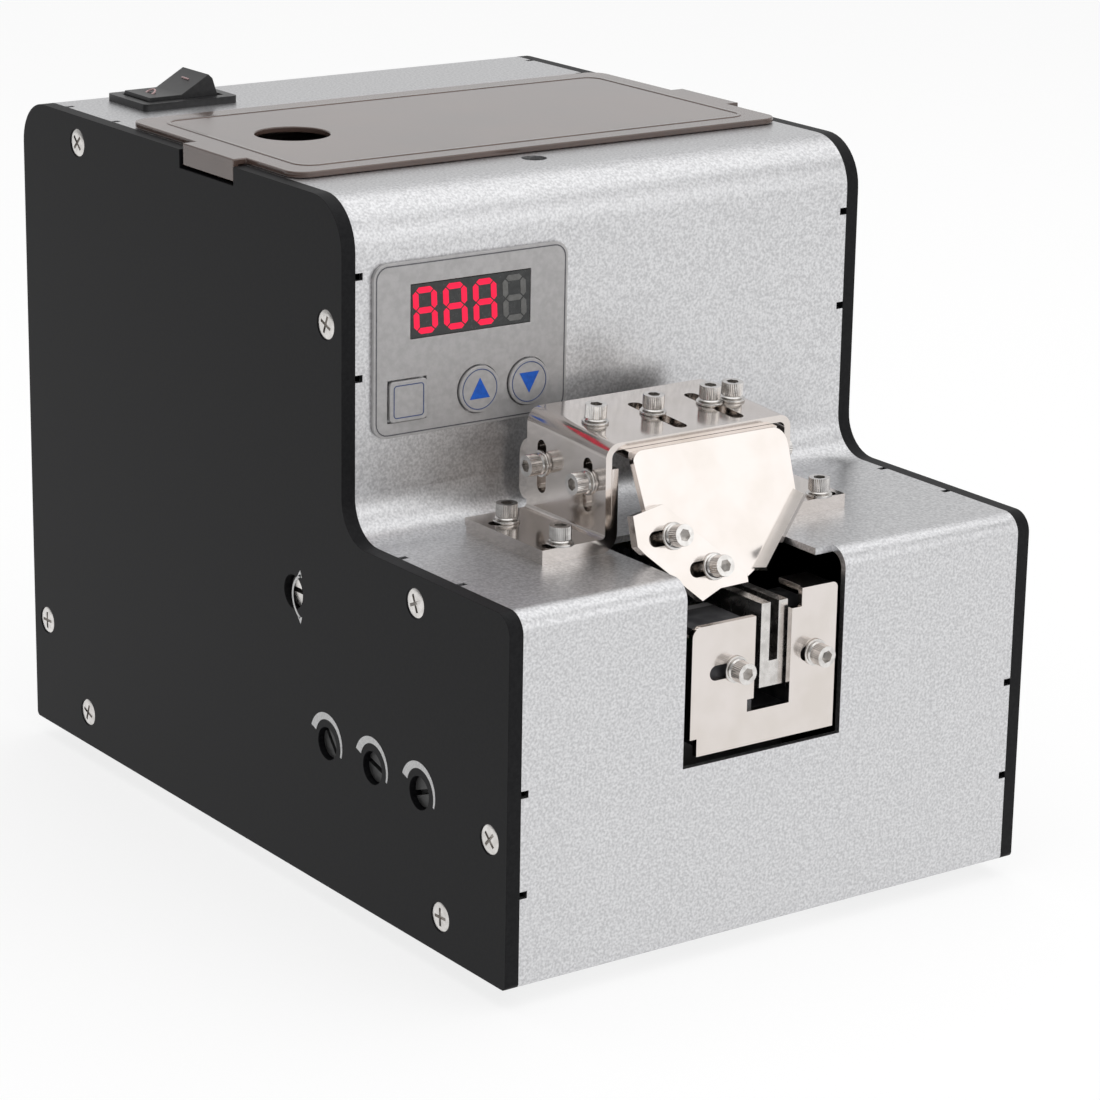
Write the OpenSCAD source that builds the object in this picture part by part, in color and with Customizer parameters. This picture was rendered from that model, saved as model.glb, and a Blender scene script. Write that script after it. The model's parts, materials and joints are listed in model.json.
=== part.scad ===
// Automatic screw feeder: a bench machine that lifts loose machine screws out of a
// hopper with a turning drum, lines them up on a shaking pair of rails and holds the
// next one ready at the front window.
//
// Lengths are in millimetres. Every piece is drawn from the machine's left side (x),
// its front face (y) and the lower edge of its case (z). placed() then moves it to the
// part's frame: origin under the middle of the whole part, on the surface it stands on.

/* [Case] */
// Width over both side plates
case_w = 123; // [118:1:140]
// Depth from front face to back face
case_d = 180; // [178:1:200]
// Height of the case without its feet
case_h = 136; // [132:1:150]
// Depth of the low front part
nose_d = 55.5; // [54:0.5:62]
// Height of the low front part
nose_h = 71.5; // [71:0.5:76]
// Thickness of each side plate
side_t = 3; // [2.5:0.1:3.5]
// Thickness of the bent cover sheet
sheet_t = 1.3; // [1:0.1:1.6]
// Thickness of the base plate
base_t = 2; // [1.5:0.1:2.5]

/* [Case bends] */
// Outer radius between front wall and top
top_front_r = 10; // [7:0.5:12]
// Outer radius between top and back
top_back_r = 9; // [6:0.5:12]
// Outer radius at the front edge of the shelf
shelf_front_r = 4; // [3:0.5:5]
// Radius in the corner between shelf and front wall
nook_r = 8; // [5:0.5:8]
// Radius at the two bottom edges
bottom_r = 1; // [0.5:0.1:1.2]

/* [Feet] */
// Height of a rubber foot
foot_h = 4; // [3:0.5:6]
// Diameter of a rubber foot
foot_dia = 14; // [12:1:16]
// Distance of each foot's middle from the case sides
foot_inset = 20; // [18:1:24]

/* [Front window] */
// Distance from the middle of the case to the window's left edge
window_left = 22.1; // [22.1:0.1:23.1]
// Width of the window in the front face
window_w = 37.3; // [37.3:0.1:38.3]
// Height of the window, up to the shelf
window_h = 36.3; // [36.1:0.1:37.5]
// Width of the slot that goes on over the shelf
shelf_slot_w = 33.1; // [33.1:0.1:35]
// Depth of the shelf left behind its slot
shelf_rest = 25.5; // [21.5:0.5:27.5]

/* [Hopper and lid] */
// Distance from the front wall to the opening in the top
hopper_front = 25.5; // [25:0.5:30]
// Distance from the opening in the top to the back face
hopper_back = 43; // [42.5:0.5:50]
// Distance from the opening in the top to each side face
hopper_side = 7; // [6.5:0.1:7.5]
// Thickness of the lid
lid_t = 1.2; // [1:0.1:1.5]
// How far the lid reaches past the opening
lid_lap = 4; // [3:0.5:4]
// Diameter of the finger hole in the lid
lid_hole = 15; // [12:0.5:18]

/* [Drum] */
// Distance from each side face to the drum
drum_side = 11.5; // [11:0.5:14]
// Number of lifting vanes
vanes = 8; // [6:1:10]
// Height of the drum's axis above half the height of the case
drum_lift = 0; // [0:0.5:3]
// Diameter of the drum shaft
shaft_dia = 8; // [7:0.5:8]

/* [Gears] */
// Gear module
gear_mod = 1; // [0.9:0.05:1]
// Teeth of the drum gear
gear_teeth = 48; // [44:1:48]
// Teeth of the motor pinion
pinion_teeth = 12; // [11:1:13]

/* [Rails] */
// Gap between the two rails, for the screw's shank
rail_gap = 2; // [1.6:0.1:3]
// Thickness of a rail
rail_t = 2.1; // [1.8:0.1:2.3]
// Depth of the rails' top edge below the shelf
rail_drop = 8; // [7.7:0.1:8.5]
// Height of a rail
rail_h = 16.5; // [16:0.1:17]
// Front end of the rails
rail_y0 = 2; // [1.8:0.1:3]
// Gap between the rails' rear end and the back of the drum
rail_stop_gap = 3; // [3:0.5:8]

/* [Hood] */
// Distance from the middle of the case to the hood's left face
hood_left = 24.5; // [24:0.1:25]
// Width over the hood's two walls
hood_w = 43.6; // [43:0.1:44]
// Distance from the hood's front edge to the front wall
hood_reach = 33; // [31.5:0.1:33.5]
// Depth of the hood's top
hood_d = 25.5; // [24:0.5:28]
// Height of the hood's front edge above the shelf
hood_h = 20.9; // [19.5:0.1:22.5]
// Slope of the hood's top, falling towards the front
hood_slope = 3.5; // [2:0.1:4]
// Thickness of each bent plate
plate_t = 1.4; // [1.2:0.1:1.5]
// How far each hood foot reaches out
hood_foot = 14.2; // [13:0.1:15]
// Lean of the shield plate from upright
shield_lean = 16.7; // [14:0.1:18]

/* [Controls] */
// Spacing of the three trimmer holes
trim_pitch = 16; // [15.5:0.1:17]
// Diameter of a trimmer hole in the side plate
trim_hole = 6.5; // [6.5:0.1:7]
// Diameter of the round keys
key_dia = 9.1; // [8.5:0.1:9.4]
// Travel of a key
key_travel = 0.5; // [0.3:0.1:0.5]

/* [Hidden] */

$fn = 48;
eps = 0.01;
fit = 0.1;             // play between pieces that are screwed together
run = 0.05;            // play all round a shaft in its bore

// Screws
m3 = 3;
side_head = 6;         // countersunk head across
side_head_t = 1.6;
side_screw_len = 7;
m25 = 2.5;
cap_head = 4.2;        // socket head across
cap_head_h = 2.5;
cap_socket = 2.3;
spring_washer_h = 0.7;
flat_washer = 5.2;
flat_washer_h = 0.5;
washers_h = spring_washer_h + flat_washer_h;
slot_w = m25 + 0.4;    // width of every adjusting slot

// Middle planes and inner faces
mid_x = case_w / 2;
jack_rim = 1.6;        // the power inlet stands out this much at the back
skim = 0.05;           // gap between faces that slide on each other
inner_x0 = side_t;
inner_x1 = case_w - side_t;
wall_in = nose_d + sheet_t;
top_in = case_h - sheet_t;
window_x = mid_x - window_left;
window_z = nose_h - window_h;
shelf_slot_d = nose_d - shelf_rest;
hopper_w = case_w - 2 * hopper_side;
hopper_y0 = nose_d + hopper_front;
hopper_y1 = case_d - hopper_back;
hopper_d = hopper_y1 - hopper_y0;
hopper_y = (hopper_y0 + hopper_y1) / 2;
rail_top = nose_h - rail_drop;

// Side plate screws: [depth, height, direction of the sheet edge that the tab hangs on]
screw_in = 5.6;
base_screw_z = 7.3;
cover_screws = [
    [case_d - 23.5, case_h - screw_in, 0],
    [nose_d + screw_in, (nose_h + case_h) / 2 + 8.15, 90],
    [case_d - screw_in, 23.2, 270],
    [30.4, nose_h - screw_in, 0],
    [screw_in, 27.8, 90]
];
base_screws = [[case_d - 23.2, base_screw_z], [21.3, base_screw_z]];
tab_w = 18;
tab_d = 10.5;
relief_w = 1.4;
relief_d = 1.6;

// Lid
lid_x0 = mid_x - hopper_w / 2 - lid_lap + 0.3;
lid_x1 = mid_x + hopper_w / 2 + lid_lap - 0.3;
lid_y0 = hopper_y - hopper_d / 2 - lid_lap;
lid_y1 = hopper_y + hopper_d / 2 + lid_lap;
lid_r = 4;
lid_seat = 0.1;        // the lid lies this much above the top
notch_y = hopper_y - 4.5;  // finger notch in each side plate
notch_w = 20.5;
notch_h = 3.7;
lip_play = 0.6;
lip_t = 1.2;
lid_hole_x = 24;
lid_hole_y = hopper_y + 2.8;
spare_hole = [mid_x - 6.8, hopper_y0 - 8.7];
spare_dia = 5;

// Power switch
switch_x = 25;
switch_y = case_d - 19;
switch_l = 22;
switch_w = 16;
switch_rim = 1.5;
switch_body_h = 14;
rocker_l = 17;
rocker_w = 10.6;
rocker_axis = -1;      // height of the rocker's pin above the top face
rocker_pin = 1.6;
rocker_tilt = 15;      // half of its swing; the right end is up

// Display panel on the front wall
panel_x = 6.5;
panel_w = 44.1;
panel_z = case_h - 46;
panel_h = 33.5;
panel_t = 0.8;
panel_r = 3;
view_x = 14.7;
view_w = 27.3;
view_z = panel_z + 18.5;
view_h = 10.5;
key_z = panel_z + 7;
set_key_x = 14;
set_key_size = [8.3, 7.8];
up_key_x = 30.1;
down_key_x = 41.5;
key_t = 0.8;
key_stem = 4;
switch_h = 3.2;        // height of a key's switch on its board
board_y = wall_in + 5.4;
board_t = 1.6;

// Front stop plate and what it is screwed to
stop_x0 = window_x + 1.6;
stop_x1 = window_x + window_w - 1.6;
stop_z0 = window_z + 1.7;
stop_t = 1.2;
stop_y = 0.2;
stop_slot_w = 8.5;
stop_slot_z = rail_top - 19.9;
stop_left_z = rail_top - 1.4;  // top edge left of the slot
stop_right_z = rail_top + 2.2; // top edge right of the slot
flange_z = [stop_slot_z - 3.1, stop_left_z - 2.1];
stop_foot = [1.6, 3.5];
front_proud = cap_head_h + washers_h + skim - stop_y;
origin_y = (case_d + jack_rim - front_proud) / 2;
stop_screw_z = rail_top - 10.9;
stop_screws = [mid_x - 10.3, mid_x + 8.5];
stop_travel = 1.5;
block_y0 = stop_y + stop_t + skim;
block_d = 12.4;
block_x0 = stop_x0 + 3;
block_x1 = stop_x1 - 1.2;
block_z0 = window_z + 2.8;
block_z1 = rail_top - 3;
rail_way = 10.6;       // free width round the rails in block and bracket
rail_way_z = rail_top - 21.5;

// Rail assembly
rail_z0 = rail_top - rail_h;
rail_in = rail_gap / 2;
rail_out = rail_in + rail_t;
spacer_h = 5;
carrier_y0 = 20.5;
carrier_y1 = nose_d + 16.6;
carrier_cheek = 3.8;
carrier_bar = 7;
cheek_top = rail_top - 7.5;
spring_t = 0.8;
spring_gap = 0.7;
vib_h = 8;
rail_cross_y = [30, 62];
rail_cross_z = rail_z0 + 2.8;
chute_y0 = hopper_y0 + 5;
chute_l = hopper_y1 - 11 - chute_y0;
chute_w = 14;
armature_h = 10;
armature_y = 48;
coil_gap = 2;
sensor_y = 7.5;
sensor_z = rail_top - 6.5;
sensor_dia = 3;

// Drum train
drum_dia = case_w - 2 * drum_side;
drum_z = case_h / 2 + drum_lift;
drum_y0 = hopper_y0 + 18;
drum_len = hopper_y1 - 4 - drum_y0;
rail_y1 = drum_y0 + drum_len - 2 - rail_stop_gap;
drum_wall = 2;
vane_h = 12;
vane_t = 1.6;
hub_dia = 20;
bin_t = 1.5;
bin_r = drum_dia / 2 + 2 + bin_t;
bin_y0 = hopper_y0 - 1;
bin_y1 = hopper_y1 + 1;
bearing_od = 16;
bearing_w = 5;
frame_y = bin_y1 + 3;
frame_t = 3;
bridge_y = frame_y + 24;
gear_y = frame_y + frame_t + 2;
gear_w = 4;
gear_gap = gear_mod * (gear_teeth + pinion_teeth) / 2;
motor_y = gear_y + gear_w + 2;
motor_box = [32, 24, 38];
motor_shaft = 6;
pinion_z = drum_z - gear_gap;
motor_can = 28;
motor_can_l = mid_x - 25.5;
motor_post = [13, 22];
frame_in = 12;
frame_foot = [28, 12, 2];
frame_top = case_h - 18;
bridge_span = 34;

// Brush
brush_dia = bin_y0 - wall_in - 5.2;
brush_y = bin_y0 - 2 - brush_dia / 2;
brush_z = rail_top + 3.5 + brush_dia / 2;
brush_w = 12;
brush_shaft = 3;
brush_motor_size = [24, 12, 10];
brush_motor_x = mid_x + brush_w / 2 + 2.5;

// Rail lock
lock_y = carrier_y1 + 0.7;
lock_z = cheek_top + 0.8;
lock_hole = 6.8;
spindle_dia = 6;
finger_l = 10;
lock_arm_x = mid_x - 21.5;
lock_foot = 7.5;

// Control board and trimmers
trim_y = 28.6;
trim_z = 29.5;
trim_shaft = 6;
trim_body = 14;
board_x = 16;
board_size = [46, 38];
board_z = 10;

// Power inlet
jack_x = 26;
jack_z = 20;
jack_hole = 8;

// Hood
hood_x = mid_x - hood_left;
hood_y = nose_d - hood_reach;
hood_top = nose_h + hood_h;
hood_x1 = hood_x + hood_w;
hood_mid = hood_x + hood_w / 2;
bend_r = 2 * plate_t;
foot_bend = 0.8;
bracket_top = nose_h + 16;
bracket_y1 = nose_d - 3;
bracket_r = 4;
wall_slots = [hood_y + 5.8, hood_y + 20.7];
wall_slot_z = [nose_h + 6.7, nose_h + 17.1];
wall_screw_z = nose_h + 12.5;
foot_screw_y = [hood_y + 1.7, hood_y + 19.2];
foot_screw_x = hood_foot - 5.2;
top_screw_y = 12;
clamp_x = [mid_x - 5, mid_x + 8.5];
guide_x = [mid_x - 18.5, mid_x + 13.9];
top_slot = [3.6, 17.6];
shield_x0 = mid_x - 20.5;
shield_x1 = mid_x + 15.9;
shield_gap = 0.8;
shield_travel = 5;
guide_t = 2;
guide_screws = [[mid_x - 15.4, 16.6], [mid_x - 7.2, 23.6]];
guide_slots = [[mid_x - 20.9, mid_x - 13.1], [mid_x - 12.7, mid_x - 4.9]];
wing_from = [shield_x1 + 0.2, -12.4];
wing_to = [mid_x + 3.5, -26];
wing_w = 3.6;
wing_bend = 62;

// ---------------------------------------------------------------- helpers

// from case coordinates to the part's frame
module placed() {
    translate([-case_w / 2, -origin_y, foot_h]) children();
}

// an outline in depth and height, as a solid from x0, t thick
module across(x0, t) {
    translate([x0, 0, 0]) rotate([90, 0, 90]) linear_extrude(t) children();
}

// an outline in width and height, as a solid from y0, t thick
module upright(y0, t) {
    translate([0, y0 + t, 0]) rotate([90, 0, 0]) linear_extrude(t) children();
}

// cylinder along x or along y, starting at p
module rod_x(p, d, l) {
    translate(p) rotate([0, 90, 0]) cylinder(d = d, h = l);
}

module rod_y(p, d, l) {
    translate(p) rotate([-90, 0, 0]) cylinder(d = d, h = l);
}

module box(x, y, z) {
    translate([x[0], y[0], z[0]]) cube([x[1] - x[0], y[1] - y[0], z[1] - z[0]]);
}

// what a round leaves of a square corner; quarter turns give the other corners
module corner_waste(at, r, quarter) {
    if (r > 0)
        translate(at) rotate(90 * quarter) difference() {
            translate([-1, -1]) square(r + 1);
            translate([r, r]) circle(r);
        }
}

module round_rect(x, y, r) {
    difference() {
        translate([x[0], y[0]]) square([x[1] - x[0], y[1] - y[0]]);
        corner_waste([x[0], y[0]], r, 0);
        corner_waste([x[1], y[0]], r, 1);
        corner_waste([x[1], y[1]], r, 2);
        corner_waste([x[0], y[1]], r, 3);
    }
}

// slot with round ends, from one point to another in 2D
module slot_2d(a, b, w) {
    len = norm(b - a);
    turn = atan2(b[1] - a[1], b[0] - a[0]);
    translate(a) circle(d = w, $fn = 24);
    translate(b) circle(d = w, $fn = 24);
    translate(a) rotate(turn) translate([0, -w / 2]) square([len, w]);
}

// quarter of a bent sheet, seen end on, with its centre of bend at the origin
module bend_2d(r_out, t, quarter) {
    rotate(90 * quarter) intersection() {
        square(r_out);
        difference() {
            circle(r_out);
            circle(r_out - t);
        }
    }
}

// socket-head screw: seat at z = 0, head above, thread below
module cap_screw(thread_l, with_washers) {
    seat = with_washers ? washers_h : 0;
    difference() {
        union() {
            translate([0, 0, seat]) cylinder(d = cap_head, h = cap_head_h, $fn = 32);
            translate([0, 0, -thread_l]) cylinder(d = m25, h = thread_l + seat + eps, $fn = 24);
            if (with_washers) {
                cylinder(d = flat_washer, h = flat_washer_h, $fn = 32);
                translate([0, 0, flat_washer_h - eps])
                    cylinder(d = cap_head + 0.2, h = spring_washer_h + 2 * eps, $fn = 32);
            }
        }
        translate([0, 0, seat + cap_head_h - 1.4]) cylinder(d = cap_socket, h = 2, $fn = 6);
    }
}

// countersunk screw with its head flush at z = 0, thread below
module flat_screw(len) {
    difference() {
        union() {
            translate([0, 0, -side_head_t]) cylinder(d1 = m3 - 0.1, d2 = side_head - 0.2, h = side_head_t);
            translate([0, 0, -len]) cylinder(d = m3 - 0.1, h = len - side_head_t + eps, $fn = 24);
        }
        for (turn = [0, 90])
            rotate(turn) translate([-1.6, -0.3, -0.9]) cube([3.2, 0.6, 1]);
    }
}

module flat_screw_hole(t) {
    translate([0, 0, -side_head_t]) cylinder(d1 = m3 + 0.1, d2 = side_head, h = side_head_t + eps);
    translate([0, 0, -t - 1]) cylinder(d = m3 + 0.2, h = t + 1 + eps, $fn = 24);
}

// ---------------------------------------------------------------- case

// the case seen from the left side, shrunk by i all round
module side_outline(i) {
    nook = nook_r + i;
    difference() {
        union() {
            translate([i, i]) square([case_d - 2 * i, nose_h - 2 * i]);
            translate([nose_d + i, i]) square([case_d - nose_d - 2 * i, case_h - 2 * i]);
            translate([nose_d + i - nook, nose_h - i]) difference() {
                translate([0, -1]) square([nook, nook + 1]);
                translate([0, nook]) circle(nook);
            }
        }
        corner_waste([i, i], bottom_r - i, 0);
        corner_waste([case_d - i, i], bottom_r - i, 1);
        corner_waste([case_d - i, case_h - i], top_back_r - i, 2);
        corner_waste([nose_d + i, case_h - i], top_front_r - i, 3);
        corner_waste([i, nose_h - i], shelf_front_r - i, 3);
    }
}

// puts a piece at every side plate screw, pointing out of the left face
module at_side_screws() {
    for (p = concat([for (s = cover_screws) [s[0], s[1]]], base_screws))
        translate([0, p[0], p[1]]) rotate([0, -90, 0]) children();
}

module side_plate() {
    difference() {
        across(0, side_t) side_outline(0);
        at_side_screws() flat_screw_hole(side_t);
        // finger notch for the lid's lip
        box([-1, side_t + 1], [notch_y - notch_w / 2, notch_y + notch_w / 2],
            [case_h - notch_h, case_h + 1]);
    }
}

module left_side_plate() {
    color("#1d1d1f") difference() {
        side_plate();
        rod_x([-1, lock_y, lock_z], lock_hole, side_t + 2);
        for (k = [0:2])
            rod_x([-1, trim_y + k * trim_pitch, trim_z], trim_hole, side_t + 2);
    }
}

module right_side_plate() {
    color("#1d1d1f") translate([case_w, 0, 0]) mirror([1, 0, 0]) side_plate();
}

// bent-down tab behind a side plate screw, hanging from a sheet edge above it
module tab(p, turn) {
    translate([0, p[0], p[1]]) rotate([turn, 0, 0]) difference() {
        translate([0, -tab_w / 2, -(tab_d - screw_in)])
            cube([sheet_t, tab_w, tab_d - sheet_t + eps]);
        rod_x([-1, 0, 0], m3, sheet_t + 2);
    }
}

// the two relief notches beside a tab
module tab_relief(p, turn) {
    translate([0, p[0], p[1]]) rotate([turn, 0, 0])
        for (s = [-1, 1])
            translate([-1, s * (tab_w + relief_w) / 2 - relief_w / 2, -tab_d])
                cube([1 + relief_d, relief_w, tab_d + screw_in + 1]);
}

// draws once from the left side and once mirrored to the right
module both_sides() {
    children();
    translate([case_w, 0, 0]) mirror([1, 0, 0]) children();
}

module wrap_cover() {
    color("#c9cacc") {
        difference() {
            across(inner_x0, inner_x1 - inner_x0) difference() {
                side_outline(0);
                side_outline(sheet_t);
                translate([sheet_t, -1]) square([case_d - 2 * sheet_t, sheet_t + 2]);
            }
            both_sides() translate([inner_x0, 0, 0])
                for (s = cover_screws) tab_relief(s, s[2]);
            // window through the front face and the roll, then on over the shelf
            box([window_x, window_x + window_w], [-1, sheet_t + 1],
                [window_z, nose_h - shelf_front_r]);
            box([window_x, window_x + window_w], [-1, shelf_front_r],
                [nose_h - shelf_front_r - 1, nose_h + 1]);
            box([window_x, window_x + shelf_slot_w], [-1, shelf_slot_d],
                [nose_h - sheet_t - 1, nose_h + 1]);
            // hopper opening, switch opening and a spare screw hole in the top
            box([mid_x - hopper_w / 2, mid_x + hopper_w / 2],
                [hopper_y - hopper_d / 2, hopper_y + hopper_d / 2], [top_in - 1, case_h + 1]);
            box([switch_x - switch_l / 2 + 1.4, switch_x + switch_l / 2 - 1.4],
                [switch_y - switch_w / 2 + 1.4, switch_y + switch_w / 2 - 1.4],
                [top_in - 1, case_h + 1]);
            translate([spare_hole[0], spare_hole[1], top_in - 1]) cylinder(d = spare_dia, h = sheet_t + 2);
            // display and keys
            box([view_x, view_x + view_w], [nose_d - 1, wall_in + 1], [view_z, view_z + view_h]);
            for (x = [set_key_x, up_key_x, down_key_x])
                rod_y([x, nose_d - 1, key_z], key_stem + 2 * run, sheet_t + 2);
            // power inlet
            rod_y([jack_x, case_d - sheet_t - 1, jack_z], jack_hole + 0.2, sheet_t + 2);
            // foot screws of the hood
            for (x = hood_screw_x(), y = foot_screw_y)
                translate([x, y, nose_h - sheet_t - 1]) cylinder(d = m25 + fit, h = sheet_t + 2, $fn = 24);
        }
        both_sides() translate([inner_x0, 0, 0])
            for (s = cover_screws) tab(s, s[2]);
    }
}

module base_plate() {
    flange_h = base_screw_z + 5;
    color("#8f9194") difference() {
        union() {
            box([inner_x0, inner_x1], [sheet_t + fit, case_d - sheet_t - fit], [0, base_t]);
            both_sides() for (p = base_screws)
                box([inner_x0, inner_x0 + 1.5], [p[0] - tab_w / 2, p[0] + tab_w / 2], [0, flange_h]);
        }
        both_sides() for (p = base_screws)
            rod_x([inner_x0 - 1, p[0], p[1]], m3, 4);
        at_feet() translate([0, 0, -1]) cylinder(d = m3 + 0.2, h = base_t + 2);
    }
}

module at_feet() {
    for (x = [foot_inset, case_w - foot_inset], y = [foot_inset, case_d - foot_inset])
        translate([x, y, 0]) children();
}

module rubber_feet() {
    color("#1a1a1a") at_feet() difference() {
        translate([0, 0, -foot_h]) cylinder(d1 = foot_dia - 2, d2 = foot_dia, h = foot_h);
        translate([0, 0, -foot_h - 1]) cylinder(d = 7, h = foot_h);
        translate([0, 0, -2]) cylinder(d = m3 + 0.2, h = 3);
    }
}

module foot_screws() {
    color("silver") at_feet() {
        translate([0, 0, -3]) cylinder(d = 6, h = 2);
        translate([0, 0, -1 - eps]) cylinder(d = m3, h = base_t + 3.5);
        translate([0, 0, base_t]) difference() {
            cylinder(d = 6, h = 2, $fn = 6);
            translate([0, 0, -1]) cylinder(d = m3 - 0.2, h = 4);
        }
    }
}

module side_plate_screws() {
    color("silver") both_sides() at_side_screws() flat_screw(side_screw_len);
}

// ---------------------------------------------------------------- lid and switch

module lid() {
    z0 = case_h + lid_seat;
    ox = hopper_w / 2 - 0.4;
    oy = hopper_d / 2 - 0.4;
    wall = 1.4;
    color("#6e5348", 0.8) difference() {
        union() {
            translate([0, 0, z0]) linear_extrude(lid_t)
                round_rect([lid_x0, lid_x1], [lid_y0, lid_y1], lid_r);
            // rim that drops into the opening
            translate([0, 0, top_in + 0.1]) linear_extrude(z0 - top_in - 0.1 + eps) difference() {
                translate([mid_x - ox, hopper_y - oy]) square([2 * ox, 2 * oy]);
                translate([mid_x - ox + wall, hopper_y - oy + wall])
                    square([2 * (ox - wall), 2 * (oy - wall)]);
            }
            both_sides() lid_lip(z0);
        }
        translate([lid_hole_x, lid_hole_y, case_h - 1]) cylinder(d = lid_hole, h = lid_t + 3);
    }
}

// lip that hangs in the side plate's notch
module lid_lip(z0) {
    y = [notch_y - notch_w / 2 + lip_play, notch_y + notch_w / 2 - lip_play];
    box([0.4, lid_x0 + 1], y, [z0, z0 + lid_t]);
    box([0.4, 0.4 + lip_t], y, [case_h - notch_h + lip_play, z0 + eps]);
}

module switch_housing() {
    l = switch_l / 2;
    w = switch_w / 2;
    color("#1b1b1d") translate([switch_x, switch_y, case_h]) difference() {
        union() {
            translate([0, 0, 0]) linear_extrude(switch_rim) round_rect([-l, l], [-w, w], 1);
            box([-l + 1.6, l - 1.6], [-w + 1.6, w - 1.6], [-switch_body_h, eps]);
            for (x = [-5.5, 0, 5.5])
                box([x - 0.4, x + 0.4], [-2.4, 2.4], [-switch_body_h - 6, -switch_body_h + eps]);
        }
        box([-rocker_l / 2 - 0.5, rocker_l / 2 + 0.5], [-rocker_w / 2 - 0.3, rocker_w / 2 + 0.3],
            [-switch_body_h + 3, switch_rim + 1]);
        rod_y([0, -w + 1.8, rocker_axis], rocker_pin + 2 * run, switch_w - 3.6);
    }
}

// rocker profile along its length about its pin, level
module rocker_outline() {
    l = rocker_l / 2;
    polygon([[-l + 1.9, -4], [l - 1.9, -4], [l - 0.4, 0.6], [l - 0.6, 4.2], [l - 1.3, 5.3],
             [0, 3.4], [-l + 1.3, 5.3], [-l + 0.6, 4.2], [-l + 0.4, 0.6]]);
}

module switch_rocker() {
    color("#232326") translate([switch_x, switch_y, case_h]) {
        upright(-rocker_w / 2, rocker_w)
            translate([0, rocker_axis]) rotate(rocker_tilt) rocker_outline();
        rod_y([0, -rocker_w / 2 - 0.25, rocker_axis], rocker_pin, rocker_w + 0.5);
    }
}

// ---------------------------------------------------------------- display and keys

module display_panel() {
    color("#b4b2af") upright(nose_d - panel_t, panel_t) difference() {
        round_rect([panel_x, panel_x + panel_w], [panel_z, panel_z + panel_h], panel_r);
        translate([view_x, view_z]) square([view_w, view_h]);
        for (x = [up_key_x, down_key_x]) translate([x, key_z]) circle(d = key_dia + 0.4);
        translate([set_key_x - set_key_size[0] / 2 - 0.2, key_z - set_key_size[1] / 2 - 0.2])
            square([set_key_size[0] + 0.4, set_key_size[1] + 0.4]);
    }
}

module display_module() {
    color("#2d3233") {
        box([view_x + 0.15, view_x + view_w - 0.15], [nose_d - panel_t + 0.15, board_y],
            [view_z + 0.15, view_z + view_h - 0.15]);
        for (x = [set_key_x, up_key_x, down_key_x])
            box([x - 3, x + 3], [board_y - switch_h, board_y], [key_z - 3, key_z + 3]);
    }
    color("#2f5d3a") difference() {
        box([panel_x + 1, panel_x + panel_w - 1], [board_y, board_y + board_t],
            [panel_z + 1, panel_z + panel_h - 1]);
        at_board_posts() rod_y([0, board_y - 1, 0], m25, board_t + 2);
    }
    color("silver") at_board_posts() {
        rod_y([0, wall_in, 0], 4.5, board_y - wall_in);
        rod_y([0, board_y + board_t, 0], 4.5, 1.6);
    }
}

module at_board_posts() {
    for (x = [panel_x + 4, panel_x + panel_w - 4])
        translate([x, 0, panel_z + panel_h - 4]) children();
    translate([(set_key_x + up_key_x) / 2, 0, panel_z + 4]) children();
}

// a key's stem, from its cap to just short of its switch
module key_stem_at(x) {
    y = nose_d - key_t - key_travel;
    rod_y([x, y, key_z], key_stem, board_y - switch_h - fit - key_travel - y);
}

module round_key(x) {
    color("#bdbcba") {
        rod_y([x, nose_d - key_t - key_travel - 0.1, key_z], key_dia, key_t);
        key_stem_at(x);
    }
}

module set_key() {
    color("#bdbcba") {
        upright(nose_d - key_t - key_travel - 0.1, key_t)
            round_rect([set_key_x - set_key_size[0] / 2, set_key_x + set_key_size[0] / 2],
                       [key_z - set_key_size[1] / 2, key_z + set_key_size[1] / 2], 0.8);
        key_stem_at(set_key_x);
    }
}

module up_key() { round_key(up_key_x); }
module down_key() { round_key(down_key_x); }

// ---------------------------------------------------------------- hood

// frame on the hood's sloping top: x as in the case, y back from the front edge
module on_hood_top() {
    translate([0, hood_y, hood_top]) rotate([hood_slope, 0, 0]) children();
}

// depth and height of a point given on the hood's top
function hood_point(y, z) = [
    hood_y + y * cos(hood_slope) - z * sin(hood_slope),
    hood_top + y * sin(hood_slope) + z * cos(hood_slope)
];

function hood_screw_x() = [hood_x - foot_screw_x, hood_x1 + foot_screw_x];

// both halves of the hood, the right one mirrored about the hood's middle
module hood_halves() {
    children();
    translate([2 * hood_mid, 0, 0]) mirror([1, 0, 0]) children();
}

// foot, bend and start of a wall, seen from the front; layer 0 is outside, 1 inside
module hood_foot_outline(layer, wall_top) {
    r = foot_bend + layer * plate_t;
    z0 = nose_h + (1 - layer) * plate_t;
    cx = hood_x - foot_bend;
    cz = nose_h + 2 * plate_t + foot_bend;
    translate([hood_x - hood_foot, z0]) square([hood_foot - foot_bend + eps, plate_t]);
    translate([cx, cz]) bend_2d(r + plate_t, plate_t, 3);
    translate([cx + r, cz - eps]) square([plate_t, wall_top - cz + eps]);
}

// slots for the foot screws, along x
module foot_slots() {
    for (y = foot_screw_y)
        translate([0, 0, nose_h - 1]) linear_extrude(2 * plate_t + 2)
            slot_2d([hood_x - foot_screw_x - 2.4, y], [hood_x - foot_screw_x + 1.2, y], slot_w);
}

module hood_wall_outline() {
    polygon([[hood_y, bracket_top - 12], [hood_y + hood_d, bracket_top - 12],
             hood_point(hood_d, -bend_r), hood_point(0, -bend_r)]);
}

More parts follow.
